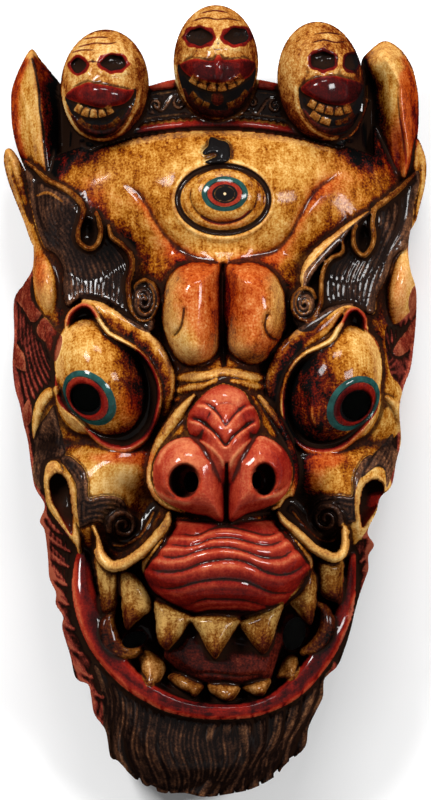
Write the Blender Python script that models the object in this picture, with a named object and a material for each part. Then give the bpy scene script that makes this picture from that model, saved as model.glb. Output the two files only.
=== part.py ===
"""Tibetan cham mask: a fierce deity with three crown skulls, carved from one block of wood.

The mask lies on the flat rim of its hollow back, face up: +X to the viewer's right, +Y toward the
crown, +Z out of the face. The carving is worked as a relief: two height fields, the carved front and
the hollowed back, meet along the outline, and bmesh closes them into one solid.
Lengths in the constants and tables are millimetres, measured from the middle of the mask.
"""
import math

import bmesh
import bpy
import numpy as np

MM = 0.001
HALF_WIDTH = 136.0          # half the block, with a margin
HALF_HEIGHT = 252.0
CELL = 2.0                  # spacing of the carving grid
TRIANGLES = 9600

FACE_HEIGHT = 90.0          # general level of the face above the rim
SHOULDER = 58.0             # distance over which the block swells from its edge
EDGE_HEIGHT = 10.0          # height of the front where the block ends
TUCK_WIDTH = 14.0           # the sides curve in by this much on their way down to the flat rim
TUCK_HEIGHT = 44.0
EDGE_WOOD = 5.0             # least thickness of a free edge
WALL = 13.0                 # wood left between hollow and face
HOLLOW_ROUND = 34.0         # radius of the hollow where it meets the rim
BAND_HEIGHT = 76.0          # crown band behind the skulls
SKULL_MIDDLE = 80.0         # level at which a skull is widest
EAR_CREST = 66.0
MOUTH_FLOOR = 72.0
HORN_FLOOR = 80.0
LOCKS = 13                  # ropes of hair in the beard
EAR_BACK = 26.0             # rear surfaces of the parts that stand free of the rim
LOBE_BACK = 22.0
DRAFT = 1.0 / 2600.0        # forms narrow toward the axis as they rise
LEAN = 0.045                # and step aside, because the face is turned a little
REACH = 60.0                # how far distances are measured
NOWHERE = 1000.0            # level of a surface that is not there

BODY = [
    (-75, 185.5), (-57, 192), (-41, 197), (-25, 201), (0, 203), (26, 201), (45.5, 197),
    (71, 190.5), (92.5, 180.5), (105.5, 163), (116, 147.5), (125.5, 138), (125, 124),
    (122, 108), (120.5, 94.5), (122, 82), (125.5, 69.5), (125.5, 52), (124, 35), (122, 20.5),
    (117.5, 8), (115, -5.5), (116, -24.5), (113, -38), (110, -53), (103, -60.5), (100.5, -69.5),
    (95, -82), (99, -90), (95.5, -97), (95.5, -105.5), (92.5, -114), (89.5, -123), (87, -132),
    (84, -144.5), (80.5, -155.5), (76, -166), (68, -174), (67, -185), (62.5, -194.5),
    (58, -204.5), (55.5, -217), (44, -227), (36, -235.5), (22.5, -242.5), (9, -245.5),
    (-7, -247.5), (-19.5, -245), (-35, -244.5), (-50.5, -236), (-61, -225), (-66, -222),
    (-69, -206), (-76, -195.5), (-78, -184.5), (-80, -177), (-87.5, -173), (-91, -159),
    (-96, -142), (-95.5, -134.5), (-100, -127), (-100, -119.5), (-104, -110.5), (-105, -97),
    (-107, -81), (-110, -75), (-107, -65), (-113, -54), (-115.5, -40), (-117.5, -25),
    (-120, -15), (-122.5, -2.5), (-125.5, 8), (-127, 23), (-126, 41), (-126, 63), (-120, 73),
    (-114.5, 83), (-114, 97.5), (-115.5, 110), (-120, 128), (-121, 139.5), (-110, 157),
    (-91, 175.5)]
SWELL = [
    (-75, 193), (-41, 205.5), (0, 210.5), (43, 205.5), (92.5, 188), (126, 132), (128, 63),
    (120, -12), (102, -87), (81, -155.5), (56, -215), (22.5, -244.5), (-7, -249.5),
    (-41, -244.5), (-74, -205.5), (-104, -124.5), (-119, -49.5), (-129.5, 25.5), (-126, 88),
    (-122.5, 132), (-107.5, 163)]
HOLLOW = [
    (0, 157), (52.5, 147.5), (85, 116), (99, 72.5), (101, 25.5), (95, -24.5), (80.5, -74.5),
    (60, -124.5), (34, -159), (0, -171), (-34, -162), (-61, -124.5), (-84, -74.5),
    (-97.5, -24.5), (-104, 25.5), (-100, 75.5), (-85, 119.5), (-52.5, 147.5)]


# ------------------------------------------------------------------ curves and blends
def smooth_curve(points, closed=False, spacing=2.5):
    """Catmull-Rom curve; columns after x and y, such as a half-width, are carried along."""
    knots = np.array(points, dtype=float)
    count = len(knots)
    rows = []
    for i in range(count if closed else count - 1):
        if closed:
            a, b, c, d = (knots[(i + k - 1) % count] for k in range(4))
        else:
            b, c = knots[i], knots[i + 1]
            a = knots[i - 1] if i > 0 else 2 * b - c
            d = knots[i + 2] if i + 2 < count else 2 * c - b
        steps = max(1, math.ceil(math.hypot(c[0] - b[0], c[1] - b[1]) / spacing))
        for k in range(steps):
            t = k / steps
            rows.append(0.5 * (2 * b + (c - a) * t + (2 * a - 5 * b + 4 * c - d) * t * t
                               + (3 * b - a - 3 * c + d) * t ** 3))
    rows.append(knots[0] if closed else knots[-1])
    return np.array(rows)


def soft_max(a, b, blend):
    """The higher of two surfaces, with a fillet of about the blend where they cross."""
    return 0.5 * (a + b + np.sqrt((a - b) ** 2 + blend * blend))


def roundness(q):
    """Height of a unit dome at the squared radius q."""
    return np.sqrt(np.clip(1 - q, 0, 1))


def blur(field, radius):
    """Box blur of a height field, run twice, for the even ceiling of the hollow."""
    k = max(1, round(radius / CELL))
    for _ in range(2):
        for axis in (0, 1):
            pad = [(0, 0), (0, 0)]
            pad[axis] = (k + 1, k)
            total = np.cumsum(np.pad(field, pad, mode="edge"), axis=axis)
            size = field.shape[axis]
            high = np.take(total, range(2 * k + 1, 2 * k + 1 + size), axis=axis)
            low = np.take(total, range(size), axis=axis)
            field = (high - low) / (2 * k + 1)
    return field


def soften(field, wood):
    """Take the saw-tooth off steep edges by averaging each cell with its neighbours in the wood."""
    share = wood.astype(float)
    for axis in (0, 1):
        total = 2 * field * share
        weight = 2 * share
        for step in (-1, 1):
            total = total + np.roll(field * share, step, axis=axis)
            weight = weight + np.roll(share, step, axis=axis)
        field = np.where(wood, total / np.maximum(weight, 1), field)
    return field


def lowest_near(field, radius):
    """Smallest value within the radius, so that the wall keeps its thickness under slopes."""
    k = max(1, round(radius / CELL))
    for axis in (0, 1):
        field = np.min([np.roll(field, s, axis=axis) for s in range(-k, k + 1)], axis=0)
    return field


# ------------------------------------------------------------------ the carving
class Carving:
    """Front and back height fields of the mask, and the depth of each cell inside its outline."""

    def __init__(self):
        self.xs = np.arange(-HALF_WIDTH, HALF_WIDTH + CELL / 2, CELL)
        self.ys = np.arange(-HALF_HEIGHT, HALF_HEIGHT + CELL / 2, CELL)
        self.x, self.y = np.meshgrid(self.xs, self.ys, indexing="ij")
        self.depth = self.depth_in(BODY)
        swell = np.clip(self.depth_in(SWELL) / SHOULDER, 0, 1)
        self.front = EDGE_HEIGHT + (FACE_HEIGHT - EDGE_HEIGHT) * roundness((1 - swell) ** 2.2)
        tuck = 1 - np.clip(self.depth / TUCK_WIDTH, 0, 1)
        self.back = np.where(self.depth > 0, TUCK_HEIGHT * (1 - roundness(tuck ** 2)), NOWHERE)
        self.holes = np.full(self.x.shape, -REACH)

    def window(self, low_x, high_x, low_y, high_y):
        """Slices of the grid that hold the given rectangle."""
        i0 = max(0, int((low_x - self.xs[0]) / CELL))
        i1 = min(len(self.xs), int((high_x - self.xs[0]) / CELL) + 2)
        j0 = max(0, int((low_y - self.ys[0]) / CELL))
        j1 = min(len(self.ys), int((high_y - self.ys[0]) / CELL) + 2)
        return slice(i0, max(i1, i0 + 1)), slice(j0, max(j1, j0 + 1))

    def near(self, path, reach):
        """Distance to a path and length run along it, for the whole grid."""
        dist = np.full(self.x.shape, float(reach))
        along = np.zeros(self.x.shape)
        start = 0.0
        for a, b in zip(path[:-1], path[1:]):
            dx, dy = b[0] - a[0], b[1] - a[1]
            length = math.hypot(dx, dy)
            part = self.window(min(a[0], b[0]) - reach, max(a[0], b[0]) + reach,
                               min(a[1], b[1]) - reach, max(a[1], b[1]) + reach)
            px = self.x[part] - a[0]
            py = self.y[part] - a[1]
            t = np.clip((px * dx + py * dy) / max(length, 1e-6) ** 2, 0, 1)
            gap = np.hypot(px - t * dx, py - t * dy)
            closer = gap < dist[part]
            dist[part] = np.where(closer, gap, dist[part])
            along[part] = np.where(closer, start + t * length, along[part])
            start += length
        return dist, along, start

    def depth_in(self, outline, spacing=2.5):
        """Signed distance to a closed outline, positive inside."""
        path = smooth_curve(outline, True, spacing)
        dist, _, _ = self.near(path, REACH)
        odd = np.zeros(self.x.shape, dtype=bool)
        for a, b in zip(path[:-1], path[1:]):
            if a[1] != b[1]:
                crosses = (self.y >= min(a[1], b[1])) & (self.y < max(a[1], b[1]))
                odd ^= crosses & (self.x < a[0] + (self.y - a[1]) * (b[0] - a[0]) / (b[1] - a[1]))
        return np.where(odd, dist, -dist)

    def oval(self, centre, radii, turn=0.0):
        """Squared radius in a turned ellipse: 0 at its centre, 1 on its edge."""
        c, s = math.cos(math.radians(turn)), math.sin(math.radians(turn))
        dx, dy = self.x - centre[0], self.y - centre[1]
        return ((c * dx + s * dy) / radii[0]) ** 2 + ((c * dy - s * dx) / radii[1]) ** 2

    def mound(self, centre, radii, top, drop, blend=6.0, turn=0.0):
        """Broad swelling that melts into what is round it."""
        self.front = soft_max(self.front, top - drop * self.oval(centre, radii, turn), blend)

    def ball(self, centre, radii, edge, top, blend=3.0, turn=0.0):
        """Ellipsoid that stands out of the surface from a given edge height."""
        q = self.oval(centre, radii, turn)
        shape = np.where(q < 1, edge + (top - edge) * roundness(q), -REACH)
        self.front = soft_max(self.front, shape, blend)

    def raise_to(self, inside, height):
        self.front = np.where(inside, np.maximum(self.front, height), self.front)

    def slab(self, outline, top, bevel, drop, replace=False):
        """Plateau with a rounded edge; top is a height or a height field."""
        depth = self.depth_in(outline)
        fall = 1 - np.clip(depth / bevel, 0, 1)
        shape = top - drop * (1 - roundness(fall ** 2))
        if replace:
            self.front = np.where(depth > 0, shape, self.front)
        else:
            self.raise_to(depth > 0, shape)
        return depth

    def bead(self, points, height, sink=0.0, ground=None, closed=False):
        """Round moulding along a curve. Columns: x, y, half-width and, if given, its own level."""
        path = smooth_curve(points, closed)
        dist, along, _ = self.near(path, path[:, 2].max() + CELL)
        run = np.concatenate([[0], np.cumsum(np.hypot(*np.diff(path[:, :2], axis=0).T))])
        width = np.maximum(np.interp(along, run, path[:, 2]), 0.1)
        level = self.front if ground is None else ground
        if path.shape[1] > 3:
            level = np.interp(along, run, path[:, 3])
        shape = level - sink + height * roundness((dist / width) ** 2)
        self.front = np.where(dist < width, shape, self.front)

    def groove(self, points, width, depth):
        """V groove with a soft bottom that runs out at both ends."""
        dist, along, length = self.near(smooth_curve(points), 3 * width)
        fade = np.clip(np.minimum(along, length - along) / (2 * width), 0, 1)
        self.front = self.front - depth * fade * np.exp(-(dist / width) ** 2) * (dist < 3 * width)

    def pit(self, centre, radii, depth, turn=0.0):
        q = self.oval(centre, radii, turn)
        self.front = self.front - depth * np.clip(1 - q, 0, 1) ** 0.4

    def drill(self, centre, radii, turn=0.0):
        """Opening that runs right through into the hollow."""
        q = self.oval(centre, radii, turn)
        self.holes = np.maximum(self.holes, (1 - np.sqrt(q)) * min(radii))

    def grow(self, depth, back):
        """A part that reaches past the body and has a rear surface of its own."""
        self.back = np.minimum(self.back, np.where(depth > 0, back, NOWHERE))
        self.depth = np.maximum(self.depth, depth)


# ------------------------------------------------------------------ forms of the mask
def face_masses(mask):
    """Broad forms: forehead, beard, cheeks, temples, brow bulbs, eyes, snout and nose."""
    mask.mound((4.5, 125.5), (70, 50), 116, 26, 8)
    mask.mound((-2.5, -180.5), (62.5, 65.5), 86, 52)
    mask.mound((-74, -55.5), (32.5, 37.5), 113, 30, turn=10)
    mask.mound((84, -55.5), (32.5, 37.5), 113, 30, turn=-10)
    mask.ball((-104, 69.5), (12.5, 31), 36, 86, 2, turn=8)
    mask.ball((115, 72.5), (14, 34.5), 36, 84, 2, turn=-8)
    mask.mound((4.5, 63), (47, 37.5), 122, 40)
    for centre, turn in (((-15, 52), 4), ((24, 50.5), -4)):
        mask.ball(centre, (20.5, 32.5), 88, 141, turn=turn)
    mask.mound((4, 10), (29, 21), 136, 30, 4)
    for centre, ball_centre, turn in (((-68, 9.5), (-72, 14.5), -20), ((72.5, 5.5), (73, 10.5), 20)):
        mask.mound(centre, (39, 42.5), 118, 26, 5)
        mask.ball(ball_centre, (29, 39), 90, 133, 2, turn=turn)
    mask.mound((7, -99.5), (62.5, 50), 138, 50)
    mask.ball((7, -100.5), (54, 35), 112, 154, 4)
    mask.mound((6, -30.5), (41, 47.5), 154, 44, 5)
    for centre in ((-18, -47), (29, -45)):
        mask.ball(centre, (24.5, 26), 118, 163, 4)
    mask.ball((6, -29.5), (22.5, 42.5), 120, 169, 4)


def crown(mask):
    """Arched band behind the skulls, with a roll along its top and a moulding at its foot."""
    def arch(rise, drop):
        return rise - drop * (mask.x / 56.0) ** 2

    reach = (mask.x > -97) & (mask.x < 97)
    band = reach & (mask.y < arch(206, 6)) & (mask.y > arch(172, 6))
    mask.front = np.where(band, BAND_HEIGHT, mask.front)
    for rise, width, height in ((200, 3.4, 3.5), (173, 3.6, 7)):
        curve = [(x, rise - 6.0 * (x / 56.0) ** 2, width) for x in np.linspace(-86, 86, 9)]
        mask.bead(curve, height, ground=np.full(mask.x.shape, BAND_HEIGHT))


def ear(mask, outline, rib):
    """Leaf-shaped ear: a crest along its rib, falling to a rolled edge."""
    depth = mask.depth_in(outline)
    dist, _, _ = mask.near(smooth_curve(rib), REACH)
    share = dist / (dist + np.maximum(depth, 0.01))
    height = EAR_CREST - 26 * share ** 1.3 - 6 * (1 - np.clip(depth / 3, 0, 1)) ** 2
    mask.raise_to(depth > 0, height)
    mask.grow(depth, EAR_BACK + 14 * (1 - np.clip(depth / 12, 0, 1)) ** 2)


def ears(mask):
    ear(mask, [
        (-115, 219.5), (-121, 211), (-127, 196), (-128, 185), (-127, 169.5), (-123, 154),
        (-116, 139.5), (-106, 134.5), (-96, 139.5), (-91, 157), (-91, 179), (-96, 195.5),
        (-102.5, 204.5), (-109.5, 213)],
        [(-115, 212.5), (-112, 201), (-110, 184.5), (-109, 171), (-107, 155.5), (-104.5, 138)])
    ear(mask, [
        (106, 225.5), (97.5, 220.5), (91, 212), (92, 194.5), (92, 169.5), (97.5, 150.5),
        (110, 135), (120, 139.5), (125, 157), (127, 172.5), (127, 189), (125.5, 200),
        (122.5, 210.5), (115.5, 220.5)],
        [(107.5, 213), (114, 202), (115.5, 193), (117.5, 175.5), (120, 157), (118, 135)])
    lobes = ([
        (-131, 157), (-132.5, 149.5), (-130, 138), (-126, 127), (-120, 112), (-114, 97),
        (-110, 107), (-111, 125.5), (-117.5, 140.5), (-126, 155.5)],
             [
                 (125.5, 164.5), (130, 157), (132, 147.5), (131, 135), (128, 122.5), (125, 112),
                 (120, 107), (117.5, 125.5), (120, 150.5)])
    for outline in lobes:
        depth = mask.slab(outline, 52, 8, 14)
        mask.grow(depth, LOBE_BACK)


def skull(mask, centre, radii, turn, top, sockets, mouth):
    """Crown skull: an ovoid with two sockets and a wide grin between rows of teeth."""
    q = mask.oval(centre, radii, turn)
    mask.raise_to(q < 1, SKULL_MIDDLE + (top - SKULL_MIDDLE) * roundness(q))
    mask.grow((1 - np.sqrt(q)) * min(radii), SKULL_MIDDLE - 10 - 22 * roundness(q))
    muzzle_x, muzzle_y = mouth
    muzzle = mask.oval(mouth, (17.5, 13.5), turn)
    mask.front = mask.front + 3.5 * roundness(muzzle)
    for x, y, half_width in sockets:
        mask.pit((x, y), (half_width, 6.0), 6.5)
    smile = [(muzzle_x - 15, muzzle_y + 1), (muzzle_x - 8, muzzle_y - 6), (muzzle_x, muzzle_y - 8.5),
             (muzzle_x + 8, muzzle_y - 6), (muzzle_x + 15, muzzle_y + 1)]
    mask.groove(smile, 2.6, 5.0)
    chin = [(muzzle_x - 19, muzzle_y), (muzzle_x - 12, muzzle_y - 14), (muzzle_x, muzzle_y - 18),
            (muzzle_x + 12, muzzle_y - 14), (muzzle_x + 19, muzzle_y)]
    mask.groove(chin, 1.8, 2.5)


def skulls(mask):
    skull(mask, (-69.5, 196.5), (27.5, 35.5), -3, 116, ((-86, 210, 5.2), (-64.5, 211, 8.8)), (-72.5, 183))
    skull(mask, (65.5, 199.5), (27, 38), 6, 116, ((67, 212.5, 8.6), (85, 212, 4.6)), (74.5, 187))
    skull(mask, (0, 211.5), (26.5, 36), 0, 120, ((-10.5, 227.5, 8.6), (13, 228, 8.6)), (1, 198))


def forehead(mask):
    """Third eye in its ring, the curl above it and the folds that frame the brow."""
    centre = (5, 127.5)
    eye = mask.oval(centre, (19.5, 16))
    mask.front = mask.front + 4.5 * roundness(eye)
    ring = [(centre[0] + 31 * math.cos(a), centre[1] - 2 + 24 * math.sin(a), 2.6)
            for a in np.linspace(0, 2 * math.pi, 24, endpoint=False)]
    mask.bead(ring, 1.8, closed=True)
    trench = [(centre[0] + 28 * math.cos(a), centre[1] - 2 + 21 * math.sin(a))
              for a in np.linspace(math.pi / 2, 2.5 * math.pi, 25)]
    mask.groove(trench, 2.0, 3.4)
    mask.bead([
        (-7, 152, 1), (-5.5, 157, 2.2), (-3, 161, 2.6), (2, 164, 3), (7, 162.5, 3),
        (9.5, 157.5, 2.6), (9, 152, 2.2)], 2.4)
    mask.groove([
        (-54, 140.5), (-49, 134.5), (-43, 125.5), (-37, 112.5), (-29, 100), (-17.5, 90),
        (-6, 85), (4.5, 82)], 2.8, 4.0)
    mask.groove([
        (77, 141), (66, 137.5), (55.5, 126), (49, 111), (40.5, 98), (28, 89.5), (16, 85),
        (4.5, 82)], 2.8, 4.0)
    mask.groove([(4.5, 89.5), (4, 72.5), (4, 57), (4.5, 41), (5, 22)], 2.4, 7.0)
    for y in (17.5, 10):
        mask.bead([(-27, y - 3, 1.2), (-12, y, 3.2), (5, y - 3, 3.4), (22, y, 3.2), (37, y - 3, 1.2)], 3.0)


def curl(mask, centre, radii, turns, start, direction, level=None):
    """Spiral moulding that winds in to its centre."""
    count = round(turns * 12)
    points = []
    for k in range(count + 1):
        share = k / count
        angle = math.radians(start + direction * 360 * turns * share)
        shrink = 1 - 0.86 * share
        point = (centre[0] + radii[0] * shrink * math.cos(angle),
                 centre[1] - radii[1] * shrink * math.sin(angle), 2.0 - 0.6 * share)
        points.append(point if level is None else point + (level + 3 * share,))
    mask.bead(points, 3.0, sink=0 if level else -2.0)


def brow(mask, outline, tip, rims, end, direction):
    """Swept eyebrow of carved hair that flares to a free tip, edged by curling mouldings."""
    run = np.hypot(mask.x - tip[0], mask.y - tip[1])
    mask.slab(outline, np.maximum(mask.front + 7, 56 + 0.5 * run), 5, 7, replace=True)
    for rim in rims:
        mask.bead(rim, 3.0)
    disc = mask.oval(end, (9.5, 12.5))
    mask.front = np.where(disc < 1, 117, mask.front)
    curl(mask, end, (8, 11), 1.5, -60 if direction > 0 else -120, direction, 117)


def brows(mask):
    brow(mask, [
        (-120.5, 149.5), (-113, 144), (-105.5, 135.5), (-96, 130.5), (-88, 126), (-82.5, 120),
        (-74.5, 115), (-67, 109.5), (-64, 102), (-58, 95.5), (-53, 87), (-53, 75.5), (-46, 76),
        (-39, 72), (-35.5, 63), (-37.5, 52), (-40, 43), (-49.5, 45.5), (-58, 52.5), (-65.5, 59),
        (-75.5, 62.5), (-85, 63), (-92.5, 59), (-96, 70), (-95.5, 81), (-100, 90.5), (-107, 96),
        (-112, 109), (-115, 120.5), (-118, 135)],
         (-120, 147),
         ([
             (-119, 149, 0.8, 60), (-113, 144.5, 1.8, 66), (-105.5, 136, 2.2, 74),
             (-96, 131, 2.4, 82), (-88, 126, 2.4, 90), (-83, 120, 2.2, 97), (-84, 113, 2, 102),
             (-87, 106, 1.8, 106), (-86, 100, 1.8, 108), (-82, 96, 1.8, 109),
             (-76, 98, 1.8, 110), (-72.5, 103, 1.8, 111), (-72.5, 110, 1.8, 112),
             (-74.5, 117, 1.2, 112)],
          [
              (-67, 110.5, 0.8, 108), (-65.5, 103, 1.8, 108), (-60, 97, 2.2, 110),
              (-55, 90, 2.3, 112), (-54, 82, 2.3, 114), (-55.5, 70.5, 2.2, 116),
              (-55.5, 61, 2.2, 117), (-52, 54, 2.2, 117), (-45.5, 51, 2.2, 118),
              (-39.5, 55, 2.2, 118), (-36, 63, 2, 118), (-38, 72, 1.8, 118), (-44, 76, 1.6, 118)]),
         (-45.5, 64), 1)
    brow(mask, [
        (127, 144.5), (121, 140), (114.5, 134.5), (101, 123), (90, 114), (82, 107.5),
        (74, 100.5), (64, 90.5), (55.5, 80.5), (54, 70.5), (47.5, 63), (47, 52), (52, 44),
        (60, 44), (66, 49.5), (73, 55.5), (80.5, 59.5), (87.5, 59), (94.5, 54.5), (99.5, 55.5),
        (101, 66), (107.5, 77.5), (111, 87.5), (115, 93), (120, 96), (123, 110), (124.5, 124),
        (127.5, 135)],
         (127, 143),
         ([
             (125, 143, 0.8, 62), (120.5, 139.5, 2, 67), (114.5, 134, 2.3, 76),
             (105.5, 126, 2.3, 84), (99, 120.5, 2.2, 90), (96, 114.5, 2, 95),
             (97.5, 105.5, 1.8, 99), (97, 98, 1.8, 102), (92.5, 94, 1.8, 104),
             (87.5, 96, 1.8, 105), (85.5, 102.5, 1.6, 106), (87.5, 109, 1.4, 107)],
          [
              (94, 117, 1, 96), (85, 109.5, 2.2, 100), (77.5, 103, 3.4, 104),
              (68, 94.5, 4.4, 108), (59.5, 85.5, 4.4, 112), (55.5, 77, 3, 114),
              (55, 69.5, 1.5, 115)],
          [
              (79.5, 102, 0.8, 107), (79.5, 96, 1.8, 108), (74, 90.5, 2, 109),
              (69, 84.5, 2, 110), (67, 75.5, 2, 112), (67, 65.5, 2, 114), (65, 55.5, 2, 116),
              (60, 47, 2.2, 117), (54, 45.5, 2.2, 118), (49.5, 52, 2.2, 118),
              (49, 60.5, 2, 118), (52.5, 67, 1.8, 118), (58, 67.5, 1.6, 118)]),
         (56, 56), -1)


def eyes(mask):
    """Rolled upper lids that hook over bulging eyeballs, and pupils bored through."""
    lids = (
        ([
            (-85, 62, 2, 112), (-75.5, 60.5, 5, 116), (-65, 55.5, 8, 120), (-54, 47, 10, 123),
            (-41, 37, 11, 124), (-32.5, 24.5, 9, 122), (-30.5, 10, 7, 118), (-34, -5.5, 5, 112),
            (-38, -18, 3, 104)],
         [
             (-95, 39.5, 0.8, 112), (-94, 49.5, 2, 114), (-89.5, 57, 2.4, 117),
             (-84, 60, 2.6, 120), (-78, 58, 2.6, 123), (-74, 51, 2.6, 126),
             (-67.5, 42, 2.8, 129), (-57.5, 36, 3, 131), (-46, 30.5, 3.2, 131),
             (-39.5, 19.5, 3.4, 129), (-37, 4.5, 3.6, 126), (-39.5, -10.5, 3.8, 122),
             (-47, -22.5, 3.8, 118), (-58, -28, 3.6, 114), (-69.5, -25, 3.2, 110),
             (-79, -17, 2.6, 108), (-86, -8, 1.4, 106)]),
        ([
            (85, 59.5, 2, 112), (76, 54.5, 7, 116), (66, 47, 10, 121), (54, 40.5, 11, 123),
            (42.5, 30.5, 11, 124), (35.5, 18, 9, 122), (35, 4, 8, 118), (37.5, -12, 6, 112),
            (41, -24.5, 3, 104)],
         [
             (94, 41, 0.8, 112), (92, 52, 2, 115), (87.5, 59, 2.4, 118), (82, 55, 2.6, 121),
             (77.5, 47, 2.6, 124), (70, 37.5, 2.8, 127), (57.5, 32, 3, 130),
             (47.5, 25, 3.2, 130), (42, 13, 3.4, 128), (40.5, -2.5, 3.6, 125),
             (45, -19, 3.8, 121), (56, -29.5, 3.8, 117), (68, -32, 3.6, 113),
             (79, -29, 3.2, 110), (87.5, -20.5, 2.4, 107), (92.5, -13, 1.2, 106)]))
    for roll, rim in lids:
        mask.bead(roll, 5.0, sink=3)
        mask.bead(rim, 3.0, sink=1)
    for centre, turn in (((-81, 0), -38), ((88, -4), 38)):
        mask.pit(centre, (10, 12.5), 6, turn)
        mask.drill(centre, (8, 10.5), turn)


def nose(mask):
    """Nostril wings round bored nostrils, the septum and the stepped folds of the bridge."""
    for centre, radii, turn in (((-20, -48), (22, 24), 10), ((29.5, -47.5), (20, 23), -10)):
        q = mask.oval(centre, radii, turn)
        mask.raise_to(q < 1, 128 + 36 * roundness(q))
    mask.groove([(6, -38), (7.5, -52.5), (7, -72)], 1.8, 5.0)
    mask.groove([(-17, -15), (-12.5, -23), (-6, -30.5), (0, -39.5), (4, -50.5), (5.5, -62)], 1.8, 3.5)
    mask.groove([(24, -17), (20.5, -24.5), (16, -30.5), (12.5, -39.5), (9.5, -50.5), (8, -62)], 1.8, 3.5)
    for left, middle, right in ((-2.5, -25.5, -4.5), (-16.5, -39.5, -18)):
        fold = [(-15, left), (-9.5, left - 6), (-2, middle + 5.5), (5.5, middle), (14, middle + 5),
                (21, right - 5.5), (24.5, right)]
        mask.groove(fold, 1.6, 2.6)
    for centre, radii in (((-20, -49), (9, 9.5)), ((30.5, -48), (8, 8.5))):
        mask.pit(centre, radii, 16)
    mask.drill((-16, -50), (4.5, 6.5))
    mask.drill((26, -48), (4, 6))


def snout(mask):
    """Upper lip drawn up in wavy folds."""
    outline = [
        (-25, -74), (-28, -84), (-34.5, -92.5), (-41, -100), (-45, -107.5), (-44, -116),
        (-39, -124.5), (-30, -130.5), (-17.5, -134.5), (-5, -135.5), (7.5, -136), (21, -135),
        (35, -132), (46, -123), (55, -115), (59.5, -107.5), (55, -99.5), (48, -92), (43, -84),
        (39, -72.5), (22.5, -74.5), (6, -76), (-10, -75)]
    depth = mask.depth_in(outline)
    across = np.abs(mask.x - 7) / 52.5
    sag = 5.3 * np.sin(np.pi * np.clip(across, 0, 1.05)) ** 2 - 6.2 * across ** 2
    phase = (-75.5 - mask.y - sag) / 7.1
    crest = 1 - np.abs(2 * (phase % 1) - 1) ** 2.6
    mask.front = mask.front + np.clip(depth / 3, 0, 1) * (3.2 * crest - 1.4)


def cheeks(mask):
    """Moustache bands with their curls, the gold lip edge and the hollow horns of the cheeks."""
    bands = ([
        (-95.5, -34.5), (-89, -32), (-80, -38), (-77, -49.5), (-77, -62), (-67.5, -62),
        (-57.5, -60.5), (-47.5, -65.5), (-41, -74.5), (-42.5, -84.5), (-49, -92), (-57.5, -92),
        (-65, -87), (-69, -78), (-75, -74.5), (-81, -77), (-85, -69.5), (-86, -55.5), (-90, -42)],
             [
                 (100.5, -32), (94, -30.5), (87.5, -38), (85, -48), (84, -60.5), (76, -60.5),
                 (66, -59.5), (56, -63), (50.5, -70.5), (51, -80.5), (57.5, -87), (66, -88),
                 (74, -83), (78, -74.5), (85, -70.5), (89, -62), (92.5, -48), (99, -38)])
    for outline in bands:
        mask.slab(outline, mask.front + 2.5, 3, 3, replace=True)
    curl(mask, (-58, -80), (9, 9), 1.5, 200, 1)
    curl(mask, (68, -75), (8, 9.5), 1.5, -20, -1)
    lips = ([
        (-29, -68, 1.2), (-33, -78, 2), (-41, -87.5, 2.6), (-50, -95, 3), (-59, -100.5, 3.2),
        (-66, -100.5, 3.2), (-72.5, -95, 3), (-76, -87, 2.6), (-77, -79.5, 1.6)],
            [
                (39, -68, 1.2), (46, -77, 2), (56, -85, 2.6), (64, -93, 3), (72, -99, 3.2),
                (79, -95.5, 3.2), (82.5, -87, 2.6), (84.5, -79, 1.4)])
    for edge in lips:
        mask.bead(edge, 3.2)
    horns = ([
        (-101, -38, 1.6, 92), (-105, -44.5, 2.2, 92), (-106, -53, 2.2, 92),
        (-104, -63, 2.2, 92), (-98, -74, 2, 93), (-91, -84, 1.8, 94), (-85.5, -93, 1.4, 94),
        (-85.5, -85.5, 1.4, 95), (-87.5, -74.5, 1.6, 96), (-89, -62, 1.8, 97),
        (-90, -51, 2, 97), (-94, -42, 2, 96)],
             [
                 (106, -42, 1.8, 90), (99.5, -47, 2.2, 94), (92.5, -53, 2.2, 96),
                 (89.5, -63, 2, 96), (89, -74.5, 1.6, 95), (90, -83, 1.4, 94),
                 (95, -75.5, 1.6, 92), (100.5, -67, 1.8, 90), (105, -59, 2, 88),
                 (107.5, -50.5, 2, 88)])
    for horn in horns:
        depth = mask.depth_in([point[:2] for point in horn])
        mask.front = np.where(depth > 0, np.minimum(mask.front, HORN_FLOOR), mask.front)
        mask.bead(horn, 3.0, closed=True)


def tooth(mask, outline, root, tip, root_height, tip_height):
    """Fang with rounded edges that leans from its root to its tip."""
    depth = mask.depth_in(outline, 1.5)
    run = (tip[0] - root[0], tip[1] - root[1])
    share = ((mask.x - root[0]) * run[0] + (mask.y - root[1]) * run[1]) / (run[0] ** 2 + run[1] ** 2)
    height = root_height + (tip_height - root_height) * np.clip(share, 0, 1)
    fall = 1 - np.clip(depth / 3, 0, 1)
    mask.raise_to(depth > 0, height - 7 * (1 - roundness(fall ** 2)))


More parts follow.
